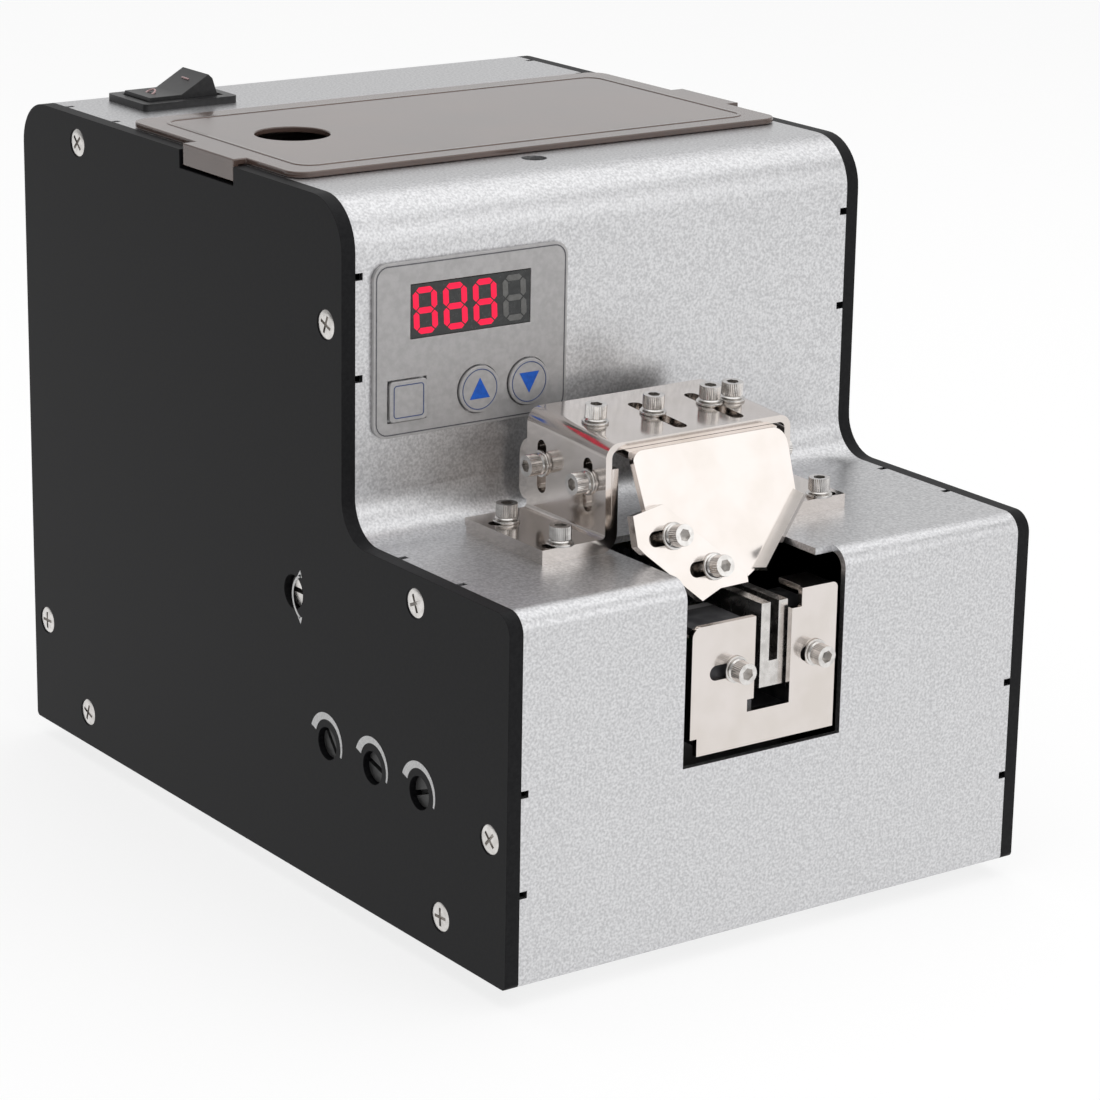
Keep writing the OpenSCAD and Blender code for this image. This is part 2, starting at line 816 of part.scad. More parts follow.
module hood_cover() {
    color("#d8cfc8") difference() {
        union() {
            hood_halves() {
                upright(hood_y, hood_d) hood_foot_outline(0, bracket_top - 10);
                across(hood_x, plate_t) hood_wall_outline();
                on_hood_top() translate([0, hood_d, 0]) rotate([90, 0, 0])
                    linear_extrude(hood_d) translate([hood_x + bend_r, -bend_r])
                        bend_2d(bend_r, plate_t, 1);
            }
            on_hood_top() box([hood_x + bend_r - eps, hood_x1 - bend_r + eps], [0, hood_d],
                              [-plate_t, 0]);
        }
        hood_halves() {
            foot_slots();
            for (y = wall_slots)
                across(hood_x - 1, plate_t + 2)
                    slot_2d([y, wall_slot_z[0] + slot_w / 2], [y, wall_slot_z[1] - slot_w / 2], slot_w);
        }
        on_hood_top() translate([0, 0, -plate_t - 1]) linear_extrude(plate_t + 2) {
            for (x = clamp_x)
                slot_2d([x, top_slot[0]], [x, top_slot[1]], slot_w);
            for (x = guide_x)
                translate([x, top_screw_y]) circle(d = m25 + fit, $fn = 24);
        }
    }
}

// the two L brackets inside the hood
module hood_brackets() {
    color("#cfc6bf") hood_halves() difference() {
        union() {
            upright(hood_y, nose_d - nook_r - hood_y) intersection() {
                hood_foot_outline(1, bracket_top - 6);
                translate([hood_x - hood_foot, nose_h - 1]) square([60, 6]);
            }
            across(hood_x + plate_t, plate_t) difference() {
                translate([hood_y, nose_h + 2 * plate_t + foot_bend])
                    square([bracket_y1 - hood_y, bracket_top - nose_h - 2 * plate_t - foot_bend]);
                corner_waste([bracket_y1, bracket_top], bracket_r, 2);
                corner_waste([bracket_y1, nose_h + 2 * plate_t + foot_bend], 2, 1);
            }
        }
        foot_slots();
        for (y = wall_slots)
            rod_x([hood_x, y, wall_screw_z], m25 + fit, 5);
    }
}

module hood_foot_screws() {
    color("#d5d5d5") hood_halves() for (y = foot_screw_y)
        translate([hood_x - foot_screw_x, y, nose_h + 2 * plate_t]) cap_screw(6, true);
}

module hood_wall_screws() {
    color("#d5d5d5") hood_halves() for (y = wall_slots)
        translate([hood_x, y, wall_screw_z]) rotate([0, -90, 0]) cap_screw(4, true);
}

module hood_guide_screws() {
    color("#d5d5d5") on_hood_top() for (x = guide_x)
        translate([x, top_screw_y, 0]) cap_screw(4, true);
}

// frame on the shield's front face: x as in the case, y up along the face, z out of it
module on_shield() {
    translate([0, hood_y - shield_gap - plate_t, hood_top - plate_t])
        rotate([90 - shield_lean, 0, 0]) children();
}

// shield outline, measured down from its top bend
module shield_outline() {
    difference() {
        polygon([[shield_x0, 0], [shield_x1, 0], wing_from, wing_to, [wing_to[0] - 1.5, -26.8],
                 [mid_x - 10.5, -26.8], [shield_x0 + 1.2, -18], [shield_x0 + 1.2, -11]]);
        corner_waste([shield_x0, 0], 2.6, 3);
        corner_waste([shield_x1, 0], 3.4, 2);
    }
}

// strip bent forward along the shield's lower right edge
module shield_wing() {
    run_l = norm(wing_to - wing_from);
    turn = atan2(wing_to[1] - wing_from[1], wing_to[0] - wing_from[0]);
    translate([wing_from[0], wing_from[1], -plate_t]) rotate([0, 0, turn]) rotate([wing_bend, 0, 0])
        linear_extrude(plate_t - 0.2) polygon([[0, 0], [run_l, 0], [run_l - 1, wing_w], [0.6, wing_w]]);
}

module shield_plate() {
    flange_y = hood_d - 5;
    color("#e3dbd6") difference() {
        union() {
            // flange under the hood's top
            on_hood_top() box([shield_x0, shield_x1 - 1.4], [-shield_gap - plate_t / 2, flange_y],
                              [-2 * plate_t - skim, -plate_t - skim]);
            on_shield() {
                translate([0, 0, -plate_t]) linear_extrude(plate_t) shield_outline();
                shield_wing();
            }
        }
        on_hood_top() {
            for (x = guide_x)
                translate([0, 0, -3 * plate_t]) linear_extrude(3 * plate_t)
                    slot_2d([x, top_screw_y], [x, flange_y + 2], slot_w);
            for (x = clamp_x)
                translate([x, top_screw_y, -3 * plate_t]) cylinder(d = m25 + fit, h = 3 * plate_t, $fn = 24);
        }
        on_shield() for (p = guide_screws)
            translate([p[0], -p[1], -plate_t - 1]) cylinder(d = m25 + fit, h = plate_t + 2, $fn = 24);
    }
}

module shield_clamp_screws() {
    color("#d5d5d5") on_hood_top() for (x = clamp_x)
        translate([x, top_screw_y, skim]) cap_screw(5, true);
}

module guide_plate() {
    x0 = shield_x0 - 3.2;
    x1 = mid_x + 0.3;
    color("#ded6d0") on_shield() translate([0, 0, skim]) linear_extrude(guide_t) difference() {
        // the lower edge stays clear of the rails' top over the plate's travel
        polygon([[x0, -11.6], [x0 + 7, -10.4], [x1, -26.2], [x1, -27.8], [x1 - 6.6, -27.9],
                 [x1 - 11.2, -29.6], [x0 + 1.6, -19.2], [x0, -17.4]]);
        for (k = [0:1])
            slot_2d([guide_slots[k][0] + slot_w / 2, -guide_screws[k][1]],
                    [guide_slots[k][1] - slot_w / 2, -guide_screws[k][1]], slot_w);
    }
}

module guide_plate_screws() {
    color("#d5d5d5") on_shield() for (p = guide_screws)
        translate([p[0], -p[1], guide_t + 2 * skim]) cap_screw(4.6, true);
}

// ---------------------------------------------------------------- front stop

module stop_outline() {
    slot_x0 = mid_x - stop_slot_w / 2 - 1.5;
    slot_x1 = slot_x0 + stop_slot_w;
    difference() {
        union() {
            translate([stop_x0, stop_z0]) square([stop_x1 - stop_x0, stop_left_z - stop_z0]);
            translate([slot_x1 + 2.3, stop_z0]) square([stop_x1 - slot_x1 - 2.3, stop_right_z - stop_z0]);
        }
        corner_waste([stop_x0, stop_left_z], 2, 3);
        corner_waste([stop_x1, stop_right_z], 1.2, 2);
        translate([stop_x0 - 1, stop_z0 - 1]) square([stop_foot[0] + 1, stop_foot[1] + 1]);
        translate([slot_x0, stop_slot_z]) square([stop_slot_w, 40]);
        translate([slot_x0 - 1.5, stop_slot_z]) square([stop_slot_w, 2.4]);
        for (x = stop_screws)
            slot_2d([x - stop_travel - (x < mid_x ? 3 : 0.4), stop_screw_z], [x, stop_screw_z], slot_w);
    }
}

module stop_plate() {
    color("#d9cdc3") {
        upright(stop_y, stop_t) stop_outline();
        // side flange and top flange, bent back
        box([stop_x0, stop_x0 + stop_t], [stop_y + stop_t - eps, 10], flange_z);
        box([stop_x1 - 8, stop_x1 - 1.3], [stop_y + stop_t - eps, 8], [stop_right_z - stop_t, stop_right_z]);
    }
}

module stop_plate_screws() {
    color("#d5d5d5") for (x = stop_screws)
        translate([x, stop_y - skim, stop_screw_z]) rotate([90, 0, 0]) cap_screw(6, true);
}

module nose_block() {
    color("#3b3c3f") difference() {
        box([block_x0, block_x1], [block_y0, block_y0 + block_d], [block_z0, block_z1]);
        box([mid_x - rail_way / 2, mid_x + rail_way / 2], [0, 30], [rail_way_z, block_z1 + 1]);
        for (x = stop_screws)
            rod_y([x, block_y0 - 1, stop_screw_z], m25 + fit, 8);
        rod_x([block_x0 - 1, sensor_y, sensor_z], sensor_dia + fit, block_x1 - block_x0 + 2);
    }
}

module nose_bracket() {
    y = block_y0 + block_d;
    color("#77797c") {
        difference() {
            box([block_x0, block_x1], [y, y + 2], [base_t, block_z1]);
            box([mid_x - rail_way / 2, mid_x + rail_way / 2], [0, 30], [rail_way_z, block_z1 + 1]);
        }
        box([block_x0, block_x1], [y - 9, y + eps], [base_t, base_t + 2]);
    }
}

// light source and receiver on either side of the rails
module screw_sensors() {
    l = 7;
    color("#2b1e3a") {
        rod_x([mid_x - rail_way / 2 - l, sensor_y, sensor_z], sensor_dia, l);
        rod_x([mid_x + rail_way / 2, sensor_y, sensor_z], sensor_dia, block_x1 - mid_x - rail_way / 2);
    }
}

// ---------------------------------------------------------------- rails

// one rail, on the left for s = -1 and on the right for s = 1
module rail(s) {
    x0 = mid_x + (s < 0 ? -rail_out : rail_in);
    color("#c7bfb8") difference() {
        box([x0, x0 + rail_t], [rail_y0, rail_y1], [rail_z0, rail_top]);
        for (y = rail_cross_y)
            rod_x([x0 - 1, y, rail_cross_z], m3 + fit, rail_t + 2);
        rod_x([x0 - 1, sensor_y, sensor_z], 2, rail_t + 2);
    }
}

module rail_left() { rail(-1); }
module rail_right() { rail(1); }

module rail_spacer() {
    color("#8d8f92") difference() {
        box([mid_x - rail_in, mid_x + rail_in], [rail_y0, rail_y1], [rail_z0, rail_z0 + spacer_h]);
        for (y = rail_cross_y)
            rod_x([mid_x - rail_in - 1, y, rail_cross_z], m3 + fit, rail_gap + 2);
    }
}

module rail_carrier() {
    w = rail_out + carrier_cheek;
    color("#9a9ca0") difference() {
        box([mid_x - w, mid_x + w], [carrier_y0, carrier_y1], [rail_z0 - carrier_bar, cheek_top]);
        box([mid_x - rail_out, mid_x + rail_out], [0, 100], [rail_z0, cheek_top + 1]);
        for (y = rail_cross_y)
            rod_x([mid_x - w - 1, y, rail_cross_z], m3 + fit, 2 * w + 2);
    }
}

module rail_screws() {
    w = rail_out + carrier_cheek;
    color("silver") for (y = rail_cross_y) {
        rod_x([mid_x - w, y, rail_cross_z], m3, 2 * w + 2.5);
        difference() {
            rod_x([mid_x - w - 3, y, rail_cross_z], 5.5, 3 + eps);
            translate([mid_x - w - 3.1, y, rail_cross_z]) rotate([0, 90, 0]) cylinder(d = 2.9, h = 1.6, $fn = 6);
        }
        translate([mid_x + w, y, rail_cross_z]) rotate([0, 90, 0]) cylinder(d = 6.2, h = 2.4, $fn = 6);
    }
}

// sloping wings that guide falling screws onto the rails
module rail_chutes() {
    color("#bdbfc2") for (s = [0, 1])
        translate([s * 2 * mid_x, 0, 0]) mirror([s, 0, 0])
            upright(chute_y0, chute_l) {
                translate([mid_x - rail_out - 1, rail_z0 + 8]) square([1, rail_top - rail_z0 - 8.4]);
                polygon([[mid_x - rail_out, rail_top - 0.6], [mid_x - rail_out - 1, rail_top - 1.2],
                         [mid_x - rail_out - chute_w, rail_top + chute_w - 2.4],
                         [mid_x - rail_out - chute_w, rail_top + chute_w - 1]]);
            }
}

module vibrator_armature() {
    color("#55575b") box([mid_x - 5.5, mid_x + 5.5], [armature_y - 6, armature_y + 6],
                         [rail_z0 - carrier_bar - armature_h, rail_z0 - carrier_bar]);
}

module vibrator_base() {
    color("#5f6165") box([mid_x - 9.5, mid_x + 9.5],
                         [carrier_y0 - spring_gap, carrier_y1 + spring_gap],
                         [base_t, base_t + vib_h]);
}

module vibrator_coil() {
    z = base_t + vib_h;
    core_h = rail_z0 - carrier_bar - armature_h - coil_gap - z;
    color("#b5683a") translate([mid_x, armature_y, z]) {
        cylinder(d = 9, h = core_h);
        difference() {
            translate([0, 0, 1]) cylinder(d = 15, h = core_h - 5);
            cylinder(d = 9 + fit, h = core_h + 2);
        }
        for (h = [0, core_h - 4])
            translate([0, 0, h]) difference() {
                cylinder(d = 17, h = 1);
                translate([0, 0, -1]) cylinder(d = 9 + fit, h = 3);
            }
    }
}

module leaf_springs() {
    w = rail_out + carrier_cheek;
    color("#a9abae")
        for (y = [carrier_y0 - spring_gap - spring_t, carrier_y1 + spring_gap])
            box([mid_x - w, mid_x + w], [y, y + spring_t], [base_t, rail_z0 - 0.6]);
}

// ---------------------------------------------------------------- hopper and drum

module bin_outline(i) {
    r = bin_r - i;
    translate([mid_x, drum_z]) circle(r, $fn = 96);
    translate([mid_x - r, drum_z]) square([2 * r, top_in - drum_z]);
}

module hopper_bin() {
    ramp_top = rail_z0 - 3;
    port_w = rail_way;
    mouth_x = [mid_x - hopper_w / 2 + 2, mid_x + hopper_w / 2 - 2];
    color("#a7a9ac") difference() {
        union() {
            difference() {
                upright(bin_y0, bin_y1 - bin_y0) bin_outline(0);
                upright(bin_y0 + bin_t, bin_y1 - bin_y0 - 2 * bin_t) {
                    bin_outline(bin_t);
                    translate([mid_x - bin_r + bin_t, drum_z]) square([2 * (bin_r - bin_t), 100]);
                }
            }
            // ramp that leads the screws into the drum
            intersection() {
                upright(bin_y0 + bin_t - eps, 20) bin_outline(bin_t - eps);
                across(0, case_w) polygon([[bin_y0, 10], [bin_y0, ramp_top], [bin_y0 + 3, ramp_top],
                                           [drum_y0 - 1.5, 20], [drum_y0 - 1.5, 10]]);
            }
            // collar under the top
            box([mouth_x[0] - 2, mouth_x[1] + 2], [bin_y0 - 1, bin_y1 + 1], [top_in - 1.5, top_in]);
        }
        box([mouth_x[0], mouth_x[1]], [bin_y0 + bin_t, bin_y1 - bin_t], [top_in - 2, top_in + 2]);
        // way out for the rails
        box([mid_x - port_w / 2, mid_x + port_w / 2], [bin_y0 - 2, bin_y0 + bin_t + 4],
            [rail_z0 - 2, rail_top + 12]);
        rod_y([mid_x, bin_y1 - bin_t - 1, drum_z], shaft_dia + 4, bin_t + 3);
    }
}

module drum() {
    r = drum_dia / 2;
    color("#d0d2d4") translate([mid_x, drum_y0, drum_z]) rotate([-90, 0, 0]) difference() {
        union() {
            difference() {
                cylinder(r = r, h = drum_len, $fn = 96);
                translate([0, 0, -1]) cylinder(r = r - drum_wall, h = drum_len - drum_wall + 1, $fn = 96);
            }
            for (k = [0:vanes - 1])
                rotate(k * 360 / vanes) translate([r - drum_wall - vane_h, -vane_t / 2, 1])
                    rotate([0, 0, 12]) cube([vane_h + 0.2, vane_t, drum_len - drum_wall - 0.5]);
            translate([0, 0, drum_len - drum_wall]) cylinder(d = hub_dia, h = drum_wall + 2.5);
        }
        cylinder(d = shaft_dia, h = 100);
    }
}

module drum_shaft() {
    color("silver") rod_y([mid_x, drum_y0 + drum_len - drum_wall, drum_z], shaft_dia,
                          bridge_y + 5 - drum_y0 - drum_len + drum_wall);
}

module bearing(y) {
    color("#b9bbbe") translate([mid_x, y, drum_z]) rotate([-90, 0, 0]) difference() {
        cylinder(d = bearing_od, h = bearing_w);
        translate([0, 0, -1]) cylinder(d = shaft_dia + 2 * run, h = bearing_w + 2);
        for (z = [-1, bearing_w - 0.4])
            translate([0, 0, z]) difference() {
                cylinder(d = bearing_od - 2.4, h = 1.4);
                translate([0, 0, -1]) cylinder(d = shaft_dia + 2.4, h = 4);
            }
    }
}

module drum_bearings() {
    bearing(frame_y - 1.5);
    bearing(bridge_y - 1);
}

// spur gear about y, straight-sided teeth, first tooth turned by start
module gear(teeth, bore, start) {
    pitch_r = gear_mod * teeth / 2;
    root_r = pitch_r - 1.2 * gear_mod;
    tip_r = pitch_r + 0.85 * gear_mod;
    half_root = 1.0 * gear_mod;
    half_tip = 0.3 * gear_mod;
    linear_extrude(gear_w) difference() {
        union() {
            circle(root_r, $fn = 72);
            for (k = [0:teeth - 1])
                rotate(start + k * 360 / teeth)
                    polygon([[root_r - 0.3, -half_root], [tip_r, -half_tip], [tip_r, half_tip],
                             [root_r - 0.3, half_root]]);
        }
        circle(d = bore);
    }
}

module drum_gear() {
    pitch_r = gear_mod * gear_teeth / 2;
    color("#e6e0cf") translate([mid_x, gear_y, drum_z]) rotate([-90, 0, 0]) difference() {
        union() {
            gear(gear_teeth, shaft_dia, 90);
            translate([0, 0, gear_w - eps]) difference() {
                cylinder(d = 16, h = 4);
                translate([0, 0, -1]) cylinder(d = shaft_dia, h = 6);
            }
        }
        for (k = [0:5])
            rotate(k * 60) translate([pitch_r * 0.62, 0, -1]) cylinder(d = pitch_r * 0.36, h = gear_w + 2);
    }
}

module motor_pinion() {
    color("#c9b37c") translate([mid_x, gear_y, pinion_z]) rotate([-90, 0, 0])
        gear(pinion_teeth, motor_shaft, -90 + 180 / pinion_teeth);
}

module gear_motor() {
    color("#606368") {
        difference() {
            box([mid_x - motor_box[0] / 2, mid_x + motor_box[0] / 2], [motor_y, motor_y + motor_box[1]],
                [pinion_z + 12 - motor_box[2], pinion_z + 12]);
            at_motor_posts() rod_y([0, motor_y - 1, 0], m3, 7);
        }
        rod_x([mid_x + motor_box[0] / 2, motor_y + motor_box[1] / 2, pinion_z - 12], motor_can, motor_can_l);
    }
    color("silver") at_motor_posts() rod_y([0, frame_y + frame_t, 0], 5, motor_y - frame_y - frame_t);
}

module at_motor_posts() {
    for (x = [mid_x - motor_post[0], mid_x + motor_post[0]], z = [pinion_z - motor_post[1], pinion_z])
        translate([x, 0, z]) children();
}

module frame_plate() {
    color("#7b7e82") difference() {
        union() {
            box([frame_in, case_w - frame_in], [frame_y, frame_y + frame_t], [base_t, frame_top]);
            for (x = [frame_in, case_w - frame_in - frame_foot[0]])
                translate([x, frame_y + frame_t - eps, base_t]) cube(frame_foot);
            rod_y([mid_x, frame_y - 1.5, drum_z], bearing_od + 6, frame_t + 3);
        }
        rod_y([mid_x, frame_y - 3, drum_z], bearing_od, frame_t + 6);
        at_bridge_posts() rod_y([0, frame_y - 1, 0], m3, frame_t + 2);
        at_motor_posts() rod_y([0, frame_y - 1, 0], m3, frame_t + 2);
    }
}

module at_bridge_posts() {
    for (s = [-1, 1])
        translate([mid_x + s * bridge_span, 0, drum_z + 10]) children();
}

module rear_bridge() {
    color("#85888c") difference() {
        union() {
            box([mid_x - bridge_span - 5, mid_x + bridge_span + 5], [bridge_y, bridge_y + 3],
                [drum_z - 12, drum_z + 16]);
            rod_y([mid_x, bridge_y - 1, drum_z], bearing_od + 6, bearing_w);
            at_bridge_posts() rod_y([0, frame_y + frame_t, 0], 7, bridge_y - frame_y - frame_t + eps);
        }
        rod_y([mid_x, bridge_y - 3, drum_z], bearing_od, 8);
        at_bridge_posts() rod_y([0, frame_y + frame_t - 1, 0], m3, 8);
    }
}

// ---------------------------------------------------------------- brush

module brush_roller() {
    color("#3c3f46") {
        difference() {
            rod_x([mid_x - brush_w / 2, brush_y, brush_z], brush_dia, brush_w);
            rod_x([mid_x - brush_w / 2 - 1, brush_y, brush_z], brush_shaft, brush_w + 2);
            for (k = [0:11])
                translate([mid_x, brush_y, brush_z]) rotate([k * 30, 0, 0])
                    translate([-brush_w, -0.6, brush_dia / 4]) cube([2 * brush_w, 1.2, brush_dia / 2]);
        }
    }
    color("silver") rod_x([mid_x - brush_w / 2 - 1.5, brush_y, brush_z], brush_shaft,
                          brush_motor_x - mid_x + brush_w / 2 + 1.5 - 0.2);
}

module brush_motor() {
    s = brush_motor_size;
    color("#b08d4a") box([brush_motor_x, brush_motor_x + s[0]], [brush_y - s[1] / 2, brush_y + s[1] / 2],
                         [brush_z - s[2] / 2, brush_z + s[2] / 2]);
}

module brush_bracket() {
    s = brush_motor_size;
    x = [brush_motor_x + 1, brush_motor_x + s[0] - 4];
    color("#77797c") {
        box(x, [bin_y0 - 1.2, bin_y0], [brush_z - 10, brush_z + s[2] / 2 + 1.2]);
        box(x, [brush_y - s[1] / 2, bin_y0 - 1.2 + eps], [brush_z + s[2] / 2, brush_z + s[2] / 2 + 1.2]);
    }
}

// ---------------------------------------------------------------- rail lock

module rail_lock_spindle() {
    x_end = mid_x - rail_out - carrier_cheek - 0.5;
    color("#8c8f93") {
        difference() {
            rod_x([1.4, lock_y, lock_z], spindle_dia, x_end - 1.4);
            box([0, 2.6], [lock_y - 4, lock_y + 4], [lock_z - 0.5, lock_z + 0.5]);
        }
        // finger that turns down onto the carrier's cheek
        box([x_end - 4, mid_x - rail_out - 0.8], [lock_y - 0.5, lock_y + 1.5],
            [lock_z - 0.5, lock_z + finger_l]);
    }
}

module spindle_bracket() {
    color("#77797c") {
        difference() {
            box([lock_arm_x, lock_arm_x + 2], [lock_y - 6, lock_y + 6], [base_t, lock_z + 6]);
            rod_x([lock_arm_x - 1, lock_y, lock_z], spindle_dia + 2 * run, 4);
        }
        box([lock_arm_x - lock_foot, lock_arm_x + eps], [lock_y - 6, lock_y + 6], [base_t, base_t + 2]);
    }
}

// ---------------------------------------------------------------- controls and power

module control_board() {
    y0 = trim_y - 7;
    color("#2f5d3a") box([board_x, board_x + board_t], [y0, y0 + board_size[0]],
                         [board_z, board_z + board_size[1]]);
    color("#3a6fb0") for (k = [0:2]) difference() {
        union() {
            rod_x([board_x - 6, trim_y + k * trim_pitch, trim_z], trim_body, 6);
            rod_x([board_x - 9, trim_y + k * trim_pitch, trim_z], 8.4, 3 + eps);
        }
        rod_x([board_x - 10, trim_y + k * trim_pitch, trim_z], trim_shaft + 2 * run, 8);
    }
}

module board_bracket() {
    y0 = trim_y - 7;
    x0 = board_x + board_t;
    color("#77797c") {
        box([x0 + 3, x0 + 4.2], [y0 + 1.4, y0 + board_size[0]], [base_t, board_z + board_size[1]]);
        box([x0 + 3, x0 + 14], [y0 + 4, y0 + board_size[0] - 8], [base_t, base_t + 1.2]);
        for (y = [y0 + 4, y0 + board_size[0] - 4], z = [board_z + 4, board_z + board_size[1] - 4])
            rod_x([x0, y, z], 5, 3 + eps);
    }
}

// slotted end of a trimmer, reaching into the side plate's hole
module trimmer_rotor(k) {
    y = trim_y + k * trim_pitch;
    color("#d9d9d6") difference() {
        rod_x([1.2, y, trim_z], trim_shaft, board_x - 2.4 - 1.2);
        translate([0, y, trim_z]) rotate([35 * k - 20, 0, 0]) translate([0, -5, -0.5]) cube([2.4, 10, 1]);
    }
}

module dc_jack() {
    color("#1b1b1d") difference() {
        union() {
            rod_y([jack_x, case_d - 12, jack_z], jack_hole, 12);
            rod_y([jack_x, case_d, jack_z], 11, jack_rim);
            translate([jack_x, case_d - sheet_t - 2, jack_z]) rotate([-90, 0, 0]) cylinder(d = 12, h = 2, $fn = 6);
        }
        rod_y([jack_x, case_d - 9, jack_z], 5.6, 12);
    }
    color("silver") rod_y([jack_x, case_d - 9.1, jack_z], 2, 8.5);
}

// ---------------------------------------------------------------- the pieces

placed() left_side_plate();
placed() right_side_plate();
placed() wrap_cover();
placed() base_plate();
placed() rubber_feet();
placed() foot_screws();
placed() side_plate_screws();
placed() lid();
placed() switch_housing();
placed() switch_rocker();
placed() display_panel();
placed() display_module();
placed() set_key();
placed() up_key();
placed() down_key();
placed() hood_cover();
placed() hood_brackets();
placed() hood_foot_screws();
placed() hood_wall_screws();
placed() hood_guide_screws();
placed() shield_plate();
placed() shield_clamp_screws();
placed() guide_plate();
placed() guide_plate_screws();
placed() stop_plate();
placed() stop_plate_screws();
placed() nose_block();
placed() nose_bracket();
placed() screw_sensors();
placed() rail_left();
placed() rail_right();
placed() rail_spacer();
placed() rail_carrier();
placed() rail_screws();
placed() rail_chutes();
placed() vibrator_armature();
placed() vibrator_base();
placed() vibrator_coil();
placed() leaf_springs();
placed() hopper_bin();
placed() drum();
placed() drum_shaft();
placed() drum_bearings();
placed() drum_gear();
placed() motor_pinion();
placed() gear_motor();
placed() frame_plate();
placed() rear_bridge();
placed() brush_roller();
placed() brush_motor();
placed() brush_bracket();
placed() rail_lock_spindle();
placed() spindle_bracket();
placed() control_board();
placed() board_bracket();
placed() trimmer_rotor(0);  // trimmer_rotor_1
placed() trimmer_rotor(1);  // trimmer_rotor_2
placed() trimmer_rotor(2);  // trimmer_rotor_3
placed() dc_jack();
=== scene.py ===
import math
import json
import bpy
from mathutils import Matrix, Vector


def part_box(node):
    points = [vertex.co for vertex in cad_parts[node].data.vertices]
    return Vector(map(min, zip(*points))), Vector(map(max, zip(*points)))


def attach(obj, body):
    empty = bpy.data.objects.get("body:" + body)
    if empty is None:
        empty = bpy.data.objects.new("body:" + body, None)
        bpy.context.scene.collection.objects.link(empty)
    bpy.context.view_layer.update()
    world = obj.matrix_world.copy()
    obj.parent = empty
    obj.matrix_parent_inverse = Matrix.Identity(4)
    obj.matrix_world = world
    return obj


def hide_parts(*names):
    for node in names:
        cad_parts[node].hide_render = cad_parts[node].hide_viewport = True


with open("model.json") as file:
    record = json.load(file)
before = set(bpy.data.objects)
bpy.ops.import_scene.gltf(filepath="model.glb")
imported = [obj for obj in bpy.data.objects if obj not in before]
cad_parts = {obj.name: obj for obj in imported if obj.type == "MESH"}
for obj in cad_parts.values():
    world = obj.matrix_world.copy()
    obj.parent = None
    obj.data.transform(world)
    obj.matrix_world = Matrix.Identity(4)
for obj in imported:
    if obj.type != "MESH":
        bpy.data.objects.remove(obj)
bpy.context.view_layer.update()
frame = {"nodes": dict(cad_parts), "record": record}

# ------------------------------------------------------------------ camera
# A long lens a little above the machine, on its left front corner.
lens = bpy.data.cameras.new("view_lens")
lens.lens = 122.55
lens.sensor_width = 36
lens.clip_start = 0.01
lens.clip_end = 20
viewer = bpy.data.objects.new("viewer", lens)
bpy.context.scene.collection.objects.link(viewer)
turn, tip, roll = math.radians(35.564), math.radians(16.922), math.radians(0.987)
ahead = Vector((math.sin(turn) * math.cos(tip), math.cos(turn) * math.cos(tip), -math.sin(tip)))
level = Vector((math.cos(turn), -math.sin(turn), 0))
upward = level.cross(ahead)
to_right = math.cos(roll) * level + math.sin(roll) * upward
to_top = math.cos(roll) * upward - math.sin(roll) * level
viewer.matrix_world = Matrix((
    (to_right.x, to_top.x, -ahead.x, -0.42057),
    (to_right.y, to_top.y, -ahead.y, -0.60299),
    (to_right.z, to_top.z, -ahead.z, 0.27883),
    (0, 0, 0, 1)))
bpy.context.scene.camera = viewer
bpy.context.scene.view_settings.view_transform = "Standard"

# ------------------------------------------------------------------ base plate and feet
# The base is a zinc-plated sheet with two bent flanges on each side; four moulded
# rubber feet are held under it by pan-head screws with nuts inside.
case_lo, case_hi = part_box("left_side_plate")


def at(x, y, z):
    """A place given in mm from the case's left, front and lower edges."""
    return Vector((case_lo[0] + x / 1000, case_lo[1] + y / 1000, case_lo[2] + z / 1000))


def finish(name, colour, metal, rough, **extra):
    """A plain finish: its material, its shader and its node tree."""
    mat = bpy.data.materials.new(name)
    mat.use_nodes = True
    shader = mat.node_tree.nodes["Principled BSDF"]
    shader.inputs["Base Color"].default_value = (*colour, 1)
    shader.inputs["Metallic"].default_value = metal
    shader.inputs["Roughness"].default_value = rough
    for socket, value in extra.items():
        shader.inputs[socket.replace("_", " ")].default_value = value
    return mat


def speckle(mat, scale, low, high, dark, light, bump=0.0, depth=0.00002, detail=3.0):
    """Fine uneven grain: it varies roughness and colour a little and may lift the surface."""
    tree = mat.node_tree
    shader = tree.nodes["Principled BSDF"]
    place = tree.nodes.new("ShaderNodeTexCoord")
    grain = tree.nodes.new("ShaderNodeTexNoise")
    grain.inputs["Scale"].default_value = scale
    grain.inputs["Detail"].default_value = detail
    tree.links.new(place.outputs["Object"], grain.inputs["Vector"])
    gloss = tree.nodes.new("ShaderNodeMapRange")
    gloss.inputs["To Min"].default_value = low
    gloss.inputs["To Max"].default_value = high
    tree.links.new(grain.outputs["Fac"], gloss.inputs["Value"])
    tree.links.new(gloss.outputs["Result"], shader.inputs["Roughness"])
    tint = tree.nodes.new("ShaderNodeValToRGB")
    tint.color_ramp.elements[0].position = 0.35
    tint.color_ramp.elements[0].color = (*dark, 1)
    tint.color_ramp.elements[1].position = 0.65
    tint.color_ramp.elements[1].color = (*light, 1)
    tree.links.new(grain.outputs["Fac"], tint.inputs["Fac"])
    tree.links.new(tint.outputs["Color"], shader.inputs["Base Color"])
    if bump:
        relief = tree.nodes.new("ShaderNodeBump")
        relief.inputs["Strength"].default_value = bump
        relief.inputs["Distance"].default_value = depth
        tree.links.new(grain.outputs["Fac"], relief.inputs["Height"])
        tree.links.new(relief.outputs["Normal"], shader.inputs["Normal"])
    return mat


def dress(node, mat):
    """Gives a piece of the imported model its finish."""
    for holder in frame["nodes"][node].material_slots:
        holder.material = mat


